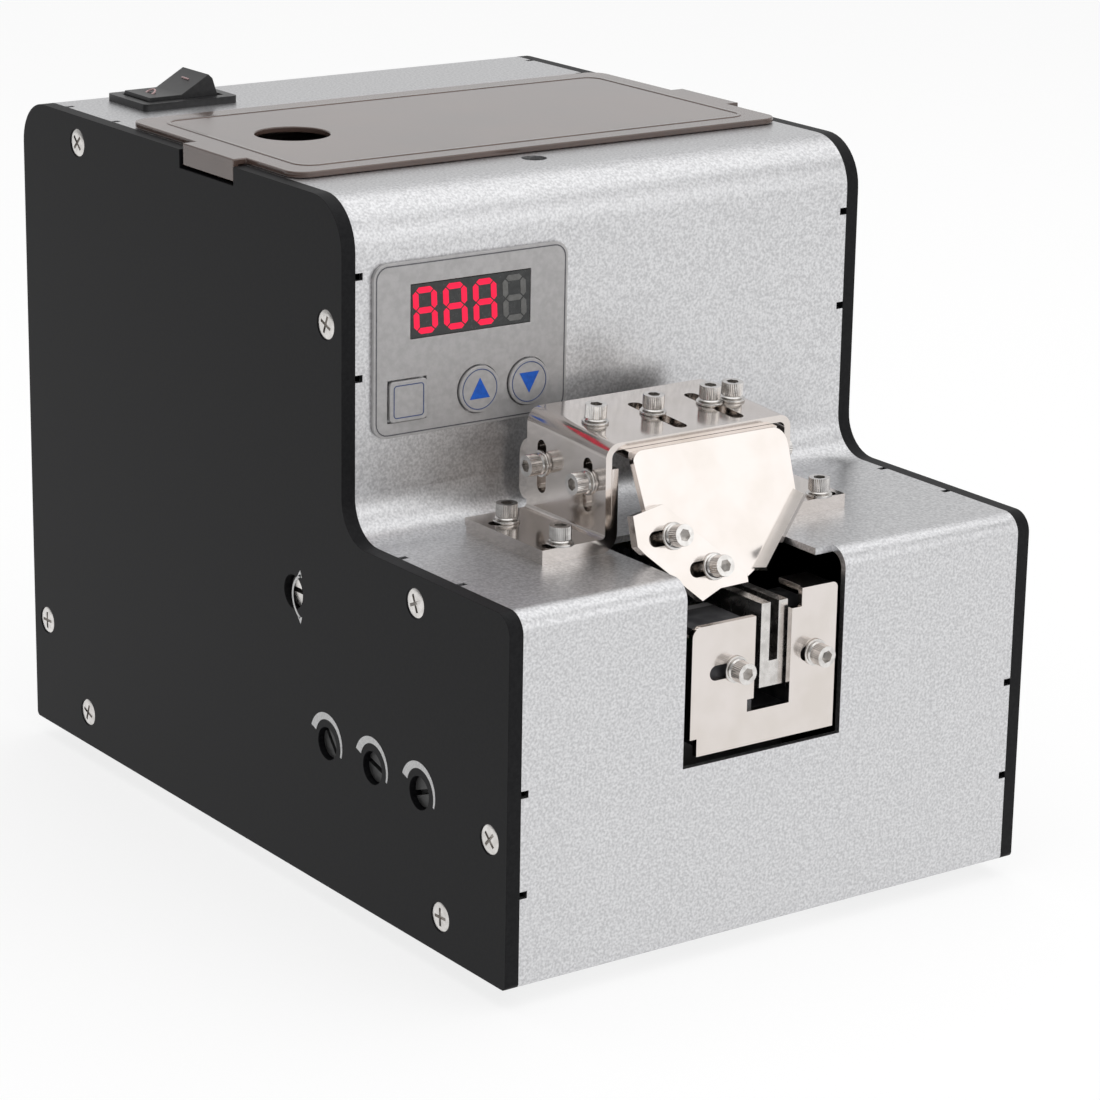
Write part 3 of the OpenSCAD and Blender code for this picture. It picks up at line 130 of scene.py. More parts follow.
zinc = speckle(finish("zinc_sheet", (0.5, 0.5, 0.51), 1, 0.4), 90, 0.3, 0.5,
               (0.42, 0.43, 0.44), (0.58, 0.58, 0.58))
foot_rubber = speckle(finish("foot_rubber", (0.02, 0.02, 0.02), 0, 0.7), 1500, 0.6, 0.8,
                      (0.012, 0.012, 0.012), (0.03, 0.03, 0.03), 0.3)
dress("base_plate", zinc)
dress("rubber_feet", foot_rubber)
nickel_screw = speckle(finish("nickel_screw", (0.7, 0.68, 0.66), 1, 0.2), 700, 0.14, 0.3,
                       (0.6, 0.58, 0.56), (0.75, 0.73, 0.71))
dress("foot_screws", nickel_screw)

# ------------------------------------------------------------------ drum train
# A machined drum turns on a steel shaft in two bearings; an acetal gear and a brass
# pinion drive it from a blackened gear motor on the zinc-plated frame plate.
machined = speckle(finish("machined_aluminium", (0.6, 0.6, 0.61), 1, 0.35), 400, 0.25, 0.45,
                   (0.52, 0.53, 0.54), (0.66, 0.66, 0.67))
blackened = speckle(finish("blackened_steel", (0.08, 0.08, 0.085), 0.6, 0.45), 300, 0.35, 0.6,
                    (0.05, 0.05, 0.055), (0.12, 0.12, 0.125))
acetal = speckle(finish("natural_acetal", (0.75, 0.72, 0.64), 0, 0.4), 200, 0.35, 0.5,
                 (0.7, 0.67, 0.58), (0.8, 0.77, 0.7))
turned_brass = speckle(finish("turned_brass", (0.7, 0.52, 0.25), 1, 0.3), 500, 0.22, 0.4,
                       (0.6, 0.45, 0.2), (0.75, 0.58, 0.3))
for part in ("drum", "rail_carrier"):
    dress(part, machined)
for part in ("frame_plate", "rear_bridge", "hopper_bin", "rail_chutes", "nose_bracket",
             "brush_bracket", "spindle_bracket", "board_bracket"):
    dress(part, zinc)
for part in ("gear_motor", "vibrator_base", "vibrator_armature"):
    dress(part, blackened)
dress("drum_gear", acetal)
dress("motor_pinion", turned_brass)
dress("brush_motor", turned_brass)
for part in ("drum_shaft", "drum_bearings", "rail_screws", "rail_lock_spindle", "leaf_springs"):
    dress(part, nickel_screw)

# ------------------------------------------------------------------ rails and what shakes them
# Two ground steel rails with a spacer between them stand in an aluminium carrier on
# leaf springs, over a coil wound with enamelled copper; a bristle roller sweeps them.
ground = speckle(finish("ground_steel", (0.62, 0.6, 0.58), 1, 0.25), 600, 0.18, 0.34,
                 (0.55, 0.53, 0.51), (0.7, 0.68, 0.66))
copper = speckle(finish("coil_copper", (0.5, 0.24, 0.1), 0.9, 0.35), 2500, 0.25, 0.5,
                 (0.4, 0.18, 0.08), (0.6, 0.3, 0.15), 0.4)
bristle = speckle(finish("brush_bristle", (0.05, 0.05, 0.06), 0, 0.8), 2500, 0.7, 0.9,
                  (0.02, 0.02, 0.025), (0.09, 0.09, 0.1), 0.6, 0.0001)
for part in ("rail_left", "rail_right", "rail_spacer"):
    dress(part, ground)
dress("vibrator_coil", copper)
dress("brush_roller", bristle)
dress("nose_block", blackened)

# ------------------------------------------------------------------ cover
# One sheet bent into front, shelf, wall, top and back, sprayed with a fine-grained
# silver paint; its tabs hang between relief notches behind the side plates.
silver_paint = finish("silver_paint", (0.62, 0.62, 0.63), 1, 0.36)
speckle(silver_paint, 1900, 0.3, 0.44, (0.52, 0.52, 0.53), (0.74, 0.74, 0.75), 0.22, 0.00004, 4)
dress("wrap_cover", silver_paint)

# ------------------------------------------------------------------ side plates
# Flat 3 mm plates with a satin black powder coat, their edges broken with a file
# before coating; the rubbed edges shine a little.
powder_black = finish("black_powder_coat", (0.008, 0.008, 0.009), 0, 0.42, Specular_IOR_Level=0.14)
speckle(powder_black, 1500, 0.42, 0.56, (0.004, 0.004, 0.005), (0.009, 0.009, 0.01), 0.15)


def broken_edges(node, radius, mat, steps=2, angle=35):
    """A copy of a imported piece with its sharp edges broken, which stands for it."""
    bpy.ops.object.select_all(action="DESELECT")
    source = frame["nodes"][node]
    piece = bpy.data.objects.new(node + "_formed", source.data.copy())
    bpy.context.scene.collection.objects.link(piece)
    piece.data.materials.clear()
    piece.data.materials.append(mat)
    bpy.context.view_layer.objects.active = piece
    piece.select_set(True)
    if piece.data.has_custom_normals:
        bpy.ops.mesh.customdata_custom_splitnormals_clear()
    bpy.ops.object.mode_set(mode="EDIT")
    bpy.ops.mesh.select_all(action="SELECT")
    bpy.ops.mesh.remove_doubles(threshold=0.000002)
    bpy.ops.mesh.dissolve_limited(angle_limit=math.radians(0.6))
    bpy.ops.object.mode_set(mode="OBJECT")
    soften = piece.modifiers.new("edge", "BEVEL")
    soften.width = radius
    soften.segments = steps
    soften.limit_method = "ANGLE"
    soften.angle_limit = math.radians(angle)
    bpy.ops.object.modifier_apply(modifier="edge")
    bpy.ops.object.shade_smooth_by_angle(angle=math.radians(angle))
    flat = piece.modifiers.new("flat", "WEIGHTED_NORMAL")
    flat.keep_sharp = True
    bpy.ops.object.modifier_apply(modifier="flat")
    body = next(b for b, names in frame["record"]["behaviour"]["bodies"].items() if node in names)
    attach(piece, body)
    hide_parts(node)
    return piece


broken_edges("left_side_plate", 0.00025, powder_black)
broken_edges("right_side_plate", 0.00025, powder_black)

# ------------------------------------------------------------------ side plate screws
# Nickel-plated M3 countersunk screws with a pressed cross in each head.
bpy.ops.object.select_all(action="DESELECT")
bpy.ops.mesh.primitive_cone_add(vertices=48, radius1=0.00145, radius2=0.0029, depth=0.0016,
                                location=(0, 0, -0.00106))
flat_head = bpy.context.object
flat_head.name = "side_screw_master"
bpy.ops.object.mode_set(mode="EDIT")
bpy.ops.mesh.select_all(action="DESELECT")
bpy.ops.object.mode_set(mode="OBJECT")
for face in flat_head.data.polygons:
    face.select = face.normal.z > 0.9
bpy.ops.object.mode_set(mode="EDIT")
bpy.ops.mesh.inset(thickness=0.0004)
bpy.ops.transform.translate(value=(0, 0, 0.00018))
bpy.ops.mesh.inset(thickness=0.0011)
bpy.ops.transform.translate(value=(0, 0, 0.00008))
bpy.ops.object.mode_set(mode="OBJECT")
for quarter in (0, 1):
    bpy.ops.object.select_all(action="DESELECT")
    bpy.ops.mesh.primitive_cube_add(size=1, location=(0, 0, 0))
    blade = bpy.context.object
    blade.scale = (0.0036, 0.00062, 0.0016)
    blade.rotation_euler = (0, 0, math.radians(90 * quarter + 45))
    bpy.ops.object.transform_apply(location=True, rotation=True, scale=True)
    bpy.ops.object.select_all(action="DESELECT")
    bpy.context.view_layer.objects.active = flat_head
    flat_head.select_set(True)
    cut = flat_head.modifiers.new("cross", "BOOLEAN")
    cut.object = blade
    cut.operation = "DIFFERENCE"
    cut.solver = "EXACT"
    bpy.ops.object.modifier_apply(modifier="cross")
    bpy.data.objects.remove(blade)
bpy.ops.mesh.primitive_cylinder_add(vertices=24, radius=0.00145, depth=0.0054, location=(0, 0, -0.0043))
shank = bpy.context.object
flat_head.select_set(True)
bpy.context.view_layer.objects.active = flat_head
bpy.ops.object.join()
bpy.ops.object.transform_apply(location=True, rotation=True, scale=True)
bpy.ops.object.shade_smooth_by_angle(angle=math.radians(35))


def set_out(master, name, placings, body, mat, node):
    """Copies of one fastener, each with its own mesh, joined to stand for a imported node."""
    bpy.ops.object.select_all(action="DESELECT")
    for place, direction, spin in placings:
        one = bpy.data.objects.new(name, master.data.copy())
        bpy.context.scene.collection.objects.link(one)
        stand = Vector(direction).to_track_quat("Z", "Y").to_matrix().to_4x4()
        one.data.transform(Matrix.Translation(place) @ stand @ Matrix.Rotation(math.radians(spin), 4, "Z"))
        one.select_set(True)
        bpy.context.view_layer.objects.active = one
    bpy.ops.object.join()
    group = bpy.context.view_layer.objects.active
    group.name = name
    group.data.materials.clear()
    group.data.materials.append(mat)
    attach(group, body)
    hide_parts(node)


side_places = []
for count, (y, z) in enumerate(((156.5, 130.4), (61.1, 111.9), (174.4, 23.2), (30.4, 65.9),
                                (5.6, 27.8), (156.8, 7.3), (21.3, 7.3))):
    side_places.append((at(0, y, z), (-1, 0, 0), 23 * count))
    side_places.append((at(123, y, z), (1, 0, 0), 31 * count))
set_out(flat_head, "side_screws_crossed", side_places, "case", nickel_screw,
        "side_plate_screws")
bpy.data.objects.remove(flat_head)

# ------------------------------------------------------------------ marks on the left plate
# Screen-printed in white: a tapering arc over each trimmer hole and a thin arc with
# two arrowheads beside the rail lock.
print_white = speckle(finish("print_white", (0.75, 0.75, 0.75), 0, 0.6), 3000, 0.5, 0.7,
                      (0.66, 0.66, 0.66), (0.8, 0.8, 0.8))


def printed_arc(name, y, z, inner, outer, start, end, thin_end):
    """A flat arc on the left plate, from start to end in degrees, tapering to thin_end."""
    bpy.ops.object.select_all(action="DESELECT")
    bpy.ops.mesh.primitive_grid_add(x_subdivisions=40, y_subdivisions=1, size=1, location=(0, 0, 0))
    arc = bpy.context.object
    arc.name = name
    for spot in arc.data.vertices:
        part = spot.co.x + 0.5
        angle = math.radians(start + (end - start) * part)
        width = (outer - inner) * (1 - (1 - thin_end) * part)
        reach = outer - width * (0.5 - spot.co.y)
        spot.co = at(-0.02, y + reach * math.cos(angle), z + reach * math.sin(angle))
    arc.data.materials.append(print_white)
    sheet = arc.modifiers.new("ink", "SOLIDIFY")
    sheet.thickness = 0.00003
    sheet.offset = 0
    bpy.context.view_layer.objects.active = arc
    bpy.ops.object.modifier_apply(modifier="ink")
    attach(arc, "case")
    return arc


for number in range(3):
    printed_arc("trimmer_arc_%d" % (number + 1), 28.9 + 16 * number, 29.9, 3.9, 5.7, 20, 200, 0.25)
printed_arc("rail_lock_arc", 68.4, 56.4, 4.4, 4.9, -65, 70, 1.0)
for tag, (y, z, lean) in enumerate(((70.3, 51.9, -20), (70.4, 60.9, 25))):
    bpy.ops.object.select_all(action="DESELECT")
    bpy.ops.mesh.primitive_cylinder_add(vertices=3, radius=0.0009, depth=0.00003,
                                        rotation=(0, math.radians(90), 0), location=at(-0.02, y, z))
    head = bpy.context.object
    head.name = "rail_lock_arrow_%d" % (tag + 1)
    bpy.ops.object.mode_set(mode="EDIT")
    bpy.ops.transform.rotate(value=math.radians(lean), orient_axis="X", center_override=at(-0.02, y, z))
    bpy.ops.object.mode_set(mode="OBJECT")
    bpy.ops.object.transform_apply(location=True, rotation=True, scale=True)
    head.data.materials.append(print_white)
    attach(head, "case")

# ------------------------------------------------------------------ trimmers and power inlet
# Dark slotted trimmers stand behind the three holes of the left plate, on a green
# circuit board; the black power inlet is screwed into the back.
rotor_grey = speckle(finish("rotor_grey", (0.04, 0.04, 0.04), 0, 0.4), 900, 0.35, 0.5,
                     (0.025, 0.025, 0.025), (0.05, 0.05, 0.05))
circuit = speckle(finish("circuit_board", (0.03, 0.16, 0.06), 0, 0.35), 400, 0.3, 0.45,
                  (0.02, 0.12, 0.045), (0.04, 0.2, 0.08))
black_plastic = speckle(finish("black_plastic", (0.012, 0.012, 0.013), 0, 0.35), 1200, 0.28, 0.42,
                        (0.009, 0.009, 0.01), (0.018, 0.018, 0.019))
for part in ("trimmer_rotor_1", "trimmer_rotor_2", "trimmer_rotor_3"):
    dress(part, rotor_grey)
dress("control_board", circuit)
dress("display_module", circuit)
dress("screw_sensors", black_plastic)
dress("dc_jack", black_plastic)

# ------------------------------------------------------------------ lid
# Smoke-brown acrylic with polished edges; the rim drops into the hopper's opening and
# a finger hole lifts it.
smoked = finish("smoked_acrylic", (0.16, 0.1, 0.08), 0, 0.16, IOR=1.49)
speckle(smoked, 60, 0.12, 0.22, (0.13, 0.085, 0.07), (0.18, 0.12, 0.1))
smoked.node_tree.nodes["Principled BSDF"].inputs["Transmission Weight"].default_value = 0.3
smoked.node_tree.nodes["Principled BSDF"].inputs["Coat Weight"].default_value = 0.5
broken_edges("lid", 0.0003, smoked, 3)

# a low moulded bead runs 4 mm inside the lid's edge
bpy.ops.object.select_all(action="DESELECT")
lid_lo, lid_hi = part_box("lid")
bpy.ops.mesh.primitive_plane_add(size=1, location=(0, 0, 0))
bead = bpy.context.object
bead.name = "lid_bead"
bead.scale = (0.1075, 0.0545, 1)
bead.location = ((lid_lo[0] + lid_hi[0]) / 2, (lid_lo[1] + lid_hi[1]) / 2, lid_hi[2] - 0.0001)
bpy.ops.object.transform_apply(location=True, rotation=True, scale=True)
bpy.ops.object.mode_set(mode="EDIT")
bpy.ops.mesh.select_all(action="SELECT")
bpy.ops.mesh.bevel(offset=0.004, segments=8, affect="VERTICES")
bpy.ops.mesh.inset(thickness=0.0009)
bpy.ops.mesh.delete(type="FACE")
bpy.ops.mesh.select_all(action="SELECT")
bpy.ops.mesh.extrude_region_move(TRANSFORM_OT_translate={"value": (0, 0, 0.00022)})
bpy.ops.mesh.select_all(action="SELECT")
bpy.ops.mesh.normals_make_consistent(inside=False)
bpy.ops.object.mode_set(mode="OBJECT")
round_off = bead.modifiers.new("bead", "BEVEL")
round_off.width = 0.0002
round_off.segments = 3
bpy.ops.object.modifier_apply(modifier="bead")
bpy.ops.object.shade_smooth_by_angle(angle=math.radians(40))
bead.data.materials.append(smoked)
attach(bead, "lid")

# ------------------------------------------------------------------ power switch
# A black moulded rocker in a snap-in housing, with a bar and a ring inlaid in its ends.
dress("switch_housing", black_plastic)
broken_edges("switch_rocker", 0.0004, black_plastic, 3)
mark_pink = speckle(finish("rocker_mark", (0.55, 0.38, 0.38), 0, 0.5), 2000, 0.4, 0.6,
                    (0.5, 0.33, 0.33), (0.6, 0.43, 0.43))
tilt = math.radians(15)
pin = at(25, 161, 135)


def on_rocker(along, across, above):
    """A place on the rocker: along its length, across it and above its pin, in mm."""
    return pin + Vector(((along * math.cos(tilt) - above * math.sin(tilt)) / 1000, across / 1000,
                         (along * math.sin(tilt) + above * math.cos(tilt)) / 1000))


bpy.ops.object.select_all(action="DESELECT")
bpy.ops.mesh.primitive_torus_add(major_segments=32, minor_segments=8, major_radius=0.00125,
                                 minor_radius=0.0002, location=on_rocker(-4.4, 0, 4.55),
                                 rotation=(0, -tilt - math.radians(15), 0))
ring_mark = bpy.context.object
ring_mark.name = "rocker_ring"
bpy.ops.mesh.primitive_cylinder_add(vertices=12, radius=0.00022, depth=0.0026,
                                    location=on_rocker(4.4, 0, 4.6), rotation=(math.radians(90), 0, 0))
bar_mark = bpy.context.object
bar_mark.name = "rocker_bar"
for mark in (ring_mark, bar_mark):
    bpy.ops.object.select_all(action="DESELECT")
    mark.select_set(True)
    bpy.context.view_layer.objects.active = mark
    bpy.ops.object.transform_apply(location=True, rotation=True, scale=True)
    bpy.ops.object.shade_smooth()
    mark.data.materials.append(mark_pink)
    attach(mark, "rocker")

# ------------------------------------------------------------------ display panel
# A grey foil with an embossed edge is glued to the wall; the edge is drawn as a thin raised line
# painted dark grey, which is painted shade at the embossed step. A smoked window shows three
# lit digits and one dark digit, and three keys have printed outlines.
foil = speckle(finish("panel_foil", (0.42, 0.41, 0.41), 0.35, 0.4), 800, 0.34, 0.44,
               (0.4, 0.39, 0.39), (0.46, 0.45, 0.45))
broken_edges("display_panel", 0.00012, foil)
for part in ("set_key", "up_key", "down_key"):
    broken_edges(part, 0.00015, foil, 2, 50)
dark_window = speckle(finish("display_filter", (0.02, 0.022, 0.022), 0, 0.25), 900, 0.2, 0.32,
                      (0.016, 0.018, 0.018), (0.03, 0.032, 0.032))
dress("display_module", dark_window)
wall_y = 55.5


def flat_shape(name, corners, y, thick, mat, body="case"):
    """A thin plate parallel to the wall, drawn from its corners in width and height."""
    bpy.ops.object.select_all(action="DESELECT")
    bpy.ops.mesh.primitive_circle_add(vertices=len(corners), radius=0.001, fill_type="NGON")
    plate = bpy.context.object
    plate.name = name
    for spot, (x, z) in zip(plate.data.vertices, corners):
        spot.co = at(x, y, z)
    bpy.ops.object.mode_set(mode="EDIT")
    bpy.ops.mesh.select_all(action="SELECT")
    bpy.ops.mesh.extrude_region_move(TRANSFORM_OT_translate={"value": (0, thick / 1000, 0)})
    bpy.ops.mesh.select_all(action="SELECT")
    bpy.ops.mesh.normals_make_consistent(inside=False)
    bpy.ops.object.mode_set(mode="OBJECT")
    plate.data.materials.append(mat)
    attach(plate, body)
    return plate


lit_red = finish("segment_lit", (0.3, 0.01, 0.03), 0, 0.4, Emission_Strength=0.85,
                 Specular_IOR_Level=0.1)
lit_red.node_tree.nodes["Principled BSDF"].inputs["Emission Color"].default_value = (1, 0.02, 0.075, 1)
unlit_grey = finish("segment_unlit", (0.13, 0.13, 0.125), 0, 0.45)
speckle(lit_red, 1500, 0.45, 0.6, (0.25, 0.008, 0.02), (0.35, 0.012, 0.035))
speckle(unlit_grey, 1500, 0.4, 0.5, (0.11, 0.11, 0.105), (0.15, 0.15, 0.145))
digit_w, digit_h, stroke, bar_gap = 4.1, 8.4, 0.62, 0.2
digit_x, digit_pitch, digit_z = 18.05, 6.75, 113.75
digit_slant, digit_squat = 0.05, 0.93
digits, lit_digits = 4, 3
for digit in range(digits):
    middle_x = digit_x + digit_pitch * digit
    bars = []
    for shift in (digit_h / 2, 0, -digit_h / 2):
        tip_x = digit_w / 2 - bar_gap
        bars.append([(-tip_x, shift), (-tip_x + stroke, shift + stroke), (tip_x - stroke, shift + stroke),
                     (tip_x, shift), (tip_x - stroke, shift - stroke), (-tip_x + stroke, shift - stroke)])
    for side in (-1, 1):
        for foot in (-digit_h / 2, 0):
            x = side * digit_w / 2
            low = foot + bar_gap
            top = foot + digit_h / 2 - bar_gap
            bars.append([(x, low), (x + stroke, low + stroke), (x + stroke, top - stroke),
                         (x, top), (x - stroke, top - stroke), (x - stroke, low + stroke)])
    for number, bar in enumerate(bars):
        corners = [(middle_x + x - digit_slant * z, digit_z + z * digit_squat) for x, z in bar]
        flat_shape("digit_%d_%d" % (digit + 1, number + 1), corners, wall_y - 0.72, 0.08,
                   lit_red if digit < lit_digits else unlit_grey)

ink_blue = speckle(finish("ink_blue", (0.0, 0.09, 0.52), 0, 0.5), 1500, 0.45, 0.55,
                   (0.0, 0.08, 0.46), (0.0, 0.11, 0.58))
ink_navy = speckle(finish("ink_navy", (0.06, 0.09, 0.2), 0, 0.5), 1500, 0.45, 0.55,
                   (0.05, 0.075, 0.17), (0.08, 0.11, 0.24))
key_face = wall_y - 1.44
up_x, down_x, key_z = 30.1, 41.5, 97
flat_shape("up_key_arrow", [(up_x - 2.3, 95.2), (up_x + 2.3, 95.2), (up_x, 99.3)], key_face, 0.05,
           ink_blue, "up_key")
flat_shape("down_key_arrow", [(down_x - 2.3, 98.9), (down_x + 2.3, 98.9), (down_x, 94.8)], key_face, 0.05,
           ink_blue, "down_key")
for name, x, body in (("up_key_ring", up_x, "up_key"), ("down_key_ring", down_x, "down_key")):
    bpy.ops.object.select_all(action="DESELECT")
    bpy.ops.mesh.primitive_torus_add(major_segments=64, minor_segments=6, major_radius=0.0039,
                                     minor_radius=0.00011, location=at(x, key_face + 0.04, key_z),
                                     rotation=(math.radians(90), 0, 0))
    ring = bpy.context.object
    ring.name = name
    bpy.ops.object.transform_apply(location=True, rotation=True, scale=True)
    ring.data.materials.append(ink_navy)
    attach(ring, body)


def outline(name, x0, x1, z0, z1, corner, width, y, mat, body):
    """A thin printed line, or a raised line painted dark grey as the shade of an embossed step, round a
    rectangle with rounded corners.
    """
    bpy.ops.object.select_all(action="DESELECT")
    bpy.ops.mesh.primitive_plane_add(size=1, location=(0, 0, 0), rotation=(math.radians(90), 0, 0))
    line = bpy.context.object
    line.name = name
    line.scale = ((x1 - x0) / 1000, (z1 - z0) / 1000, 1)
    line.location = at((x0 + x1) / 2, y, (z0 + z1) / 2)
    bpy.ops.object.transform_apply(location=True, rotation=True, scale=True)
    bpy.ops.object.mode_set(mode="EDIT")
    bpy.ops.mesh.select_all(action="SELECT")
    bpy.ops.mesh.bevel(offset=corner / 1000, segments=6, affect="VERTICES")
    bpy.ops.mesh.inset(thickness=width / 1000)
    bpy.ops.mesh.delete(type="FACE")
    bpy.ops.mesh.select_all(action="SELECT")
    bpy.ops.mesh.extrude_region_move(TRANSFORM_OT_translate={"value": (0, -0.00005, 0)})
    bpy.ops.mesh.select_all(action="SELECT")
    bpy.ops.mesh.normals_make_consistent(inside=False)
    bpy.ops.object.mode_set(mode="OBJECT")
    line.data.materials.append(mat)
    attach(line, body)


# the foil's embossed edge: the thin raised line is real relief, its dark grey is painted shade at the step
edge_shade_grey = speckle(finish("painted_shade_edge", (0.1, 0.1, 0.11), 0.3, 0.4), 900, 0.35, 0.45,
                    (0.08, 0.08, 0.09), (0.13, 0.13, 0.14))
outline("set_key_outline", 10.6, 17.4, 93.8, 100.2, 0.7, 0.2, wall_y - 1.41, ink_navy, "set_key")
outline("panel_edge_shade_line", 7.0, 50.1, 90.5, 123.0, 2.6, 0.22, wall_y - 0.81, edge_shade_grey, "case")

# ------------------------------------------------------------------ hood, shield and stop
# Bent from 1.4 mm steel, polished and nickel plated, which gives it a faint warm tone;
# the sheared edges are broken by the polishing.
polished = speckle(finish("polished_nickel", (0.72, 0.67, 0.63), 1, 0.13), 120, 0.1, 0.17,
                   (0.69, 0.64, 0.6), (0.74, 0.69, 0.66))
for part in ("hood_cover", "hood_brackets", "shield_plate", "guide_plate", "stop_plate"):
    broken_edges(part, 0.0002, polished)

# ------------------------------------------------------------------ socket screws
# Nickel-plated M2.5 socket-head screws with a knurled head, a split spring washer and a
# flat washer under each.
bpy.ops.object.select_all(action="DESELECT")
bpy.ops.mesh.primitive_cylinder_add(vertices=72, radius=0.0021, depth=0.0025, location=(0, 0, 0.00245))
cap = bpy.context.object
cap.name = "socket_screw_master"
for spot in cap.data.vertices:
    spot.select = False
for face in cap.data.polygons:
    face.select = False
for edge in cap.data.edges:
    a, b = (cap.data.vertices[v].co for v in edge.vertices)
    turned = round(math.degrees(math.atan2(a.y, a.x)) / 5)
    edge.select = abs(a.z - b.z) > 0.001 and turned % 2 == 0
bpy.ops.object.mode_set(mode="EDIT")
bpy.ops.transform.resize(value=(0.96, 0.96, 1), center_override=(0, 0, 0))
bpy.ops.object.mode_set(mode="OBJECT")
bpy.ops.object.mode_set(mode="EDIT")
bpy.ops.mesh.select_mode(type="FACE")
bpy.ops.object.mode_set(mode="OBJECT")
for face in cap.data.polygons:
    face.select = face.normal.z > 0.9
bpy.ops.object.mode_set(mode="EDIT")
bpy.ops.mesh.extrude_region_move(TRANSFORM_OT_translate={"value": (0, 0, 0.00012)})
bpy.ops.transform.resize(value=(0.9, 0.9, 1), center_override=(0, 0, 0))
bpy.ops.transform.translate(value=(0, 0, -0.00012))
bpy.ops.object.mode_set(mode="OBJECT")
bpy.ops.object.select_all(action="DESELECT")
bpy.ops.mesh.primitive_cylinder_add(vertices=6, radius=0.00125, depth=0.003, location=(0, 0, 0.0037))
hexagon = bpy.context.object
bpy.ops.object.select_all(action="DESELECT")
cap.select_set(True)
bpy.context.view_layer.objects.active = cap
socket = cap.modifiers.new("socket", "BOOLEAN")
socket.object = hexagon
socket.operation = "DIFFERENCE"
socket.solver = "EXACT"
bpy.ops.object.modifier_apply(modifier="socket")
bpy.data.objects.remove(hexagon)
bpy.ops.mesh.primitive_torus_add(major_segments=36, minor_segments=4, major_radius=0.00172,
                                 minor_radius=0.00052, location=(0, 0, 0.00085))
spring_washer = bpy.context.object
bpy.ops.mesh.primitive_cylinder_add(vertices=48, radius=0.0026, depth=0.0005, location=(0, 0, 0.00025))
flat_washer = bpy.context.object
bpy.ops.object.mode_set(mode="EDIT")
bpy.ops.mesh.select_all(action="SELECT")
bpy.ops.mesh.bevel(offset=0.00012, segments=2)
bpy.ops.object.mode_set(mode="OBJECT")
bpy.ops.mesh.primitive_cylinder_add(vertices=24, radius=0.00125, depth=0.0046, location=(0, 0, -0.0017))
thread = bpy.context.object
for loose in (spring_washer, flat_washer, cap):
    loose.select_set(True)
bpy.context.view_layer.objects.active = cap
bpy.ops.object.join()
bpy.ops.object.shade_smooth_by_angle(angle=math.radians(32))
bpy.ops.object.transform_apply(location=True, rotation=True, scale=True)

slope = math.radians(3.5)
lean = math.radians(90 - 16.7)


def on_hood(x, back, above):
    """A place on the hood's sloping top: back from its front edge and above it, in mm."""
    return at(x, 22.5 + back * math.cos(slope) - above * math.sin(slope),
              92.4 + back * math.sin(slope) + above * math.cos(slope))


def on_shield(x, down, out):
    """A place on the shield's face: down from its bend and out of it, in mm."""
    return at(x, 20.3 - down * math.cos(lean) - out * math.sin(lean),
              91.0 - down * math.sin(lean) + out * math.cos(lean))


up_hood = (0, -math.sin(slope), math.cos(slope))
out_shield = (0, -math.sin(lean), math.cos(lean))
foot_x, foot_y, foot_seat = (28, 89.6), (24.2, 41.7), 74.3
wall_left, wall_right, wall_screw_y, wall_screw_z = 37, 80.6, (28.3, 43.2), 84
screws_back, stop_face, stop_screw_z = 12, 0.15, 52.6
set_out(cap, "hood_foot_screw_set",
        [(at(x, y, foot_seat), (0, 0, 1), 7 * x) for x in foot_x for y in foot_y],
        "case", nickel_screw, "hood_foot_screws")
set_out(cap, "hood_wall_screw_set",
        [(at(wall_left, wall_screw_y[0], wall_screw_z), (-1, 0, 0), 10),
         (at(wall_left, wall_screw_y[1], wall_screw_z), (-1, 0, 0), 37),
         (at(wall_right, wall_screw_y[0], wall_screw_z), (1, 0, 0), 22),
         (at(wall_right, wall_screw_y[1], wall_screw_z), (1, 0, 0), 50)],
        "case", nickel_screw, "hood_wall_screws")
set_out(cap, "hood_guide_screw_set",
        [(on_hood(43, screws_back, 0), up_hood, 15), (on_hood(75.4, screws_back, 0), up_hood, 40)],
        "case", nickel_screw, "hood_guide_screws")
set_out(cap, "shield_clamp_screw_set",
        [(on_hood(56.5, screws_back, 0.05), up_hood, 5), (on_hood(70, screws_back, 0.05), up_hood, 28)],
        "shield", nickel_screw, "shield_clamp_screws")
set_out(cap, "guide_plate_screw_set",
        [(on_shield(46.1, 16.6, 2.1), out_shield, 12), (on_shield(54.3, 23.6, 2.1), out_shield, 33)],
        "shield", nickel_screw, "guide_plate_screws")
set_out(cap, "stop_plate_screw_set",
        [(at(51.2, stop_face, stop_screw_z), (0, -1, 0), 8),
         (at(70, stop_face, stop_screw_z), (0, -1, 0), 41)],
        "case", nickel_screw, "stop_plate_screws")
bpy.data.objects.remove(cap)

# ------------------------------------------------------------------ floor, backdrop and light
# A pale floor and three soft lamps, as on a photographer's table; the room is darker on
# the left, so metal that faces left reflects less.
bpy.ops.object.select_all(action="DESELECT")
bpy.ops.mesh.primitive_plane_add(size=6, location=(0, 0, 0))
floor = bpy.context.object
floor.name = "floor"


def seen_rays(tree, share):
    """How much of a camera, mirror or glass ray sees the plain white backdrop."""
    ray = tree.nodes.new("ShaderNodeLightPath")
    first = tree.nodes.new("ShaderNodeMath")
    first.operation = "MAXIMUM"
    second = tree.nodes.new("ShaderNodeMath")
    second.operation = "MAXIMUM"
    amount = tree.nodes.new("ShaderNodeMath")
    amount.operation = "MULTIPLY"
    amount.inputs[1].default_value = share
    tree.links.new(ray.outputs["Is Camera Ray"], first.inputs[0])
    tree.links.new(ray.outputs["Is Glossy Ray"], first.inputs[1])
    tree.links.new(first.outputs["Value"], second.inputs[0])
    tree.links.new(ray.outputs["Is Transmission Ray"], second.inputs[1])
    tree.links.new(second.outputs["Value"], amount.inputs[0])
    return amount.outputs["Value"]


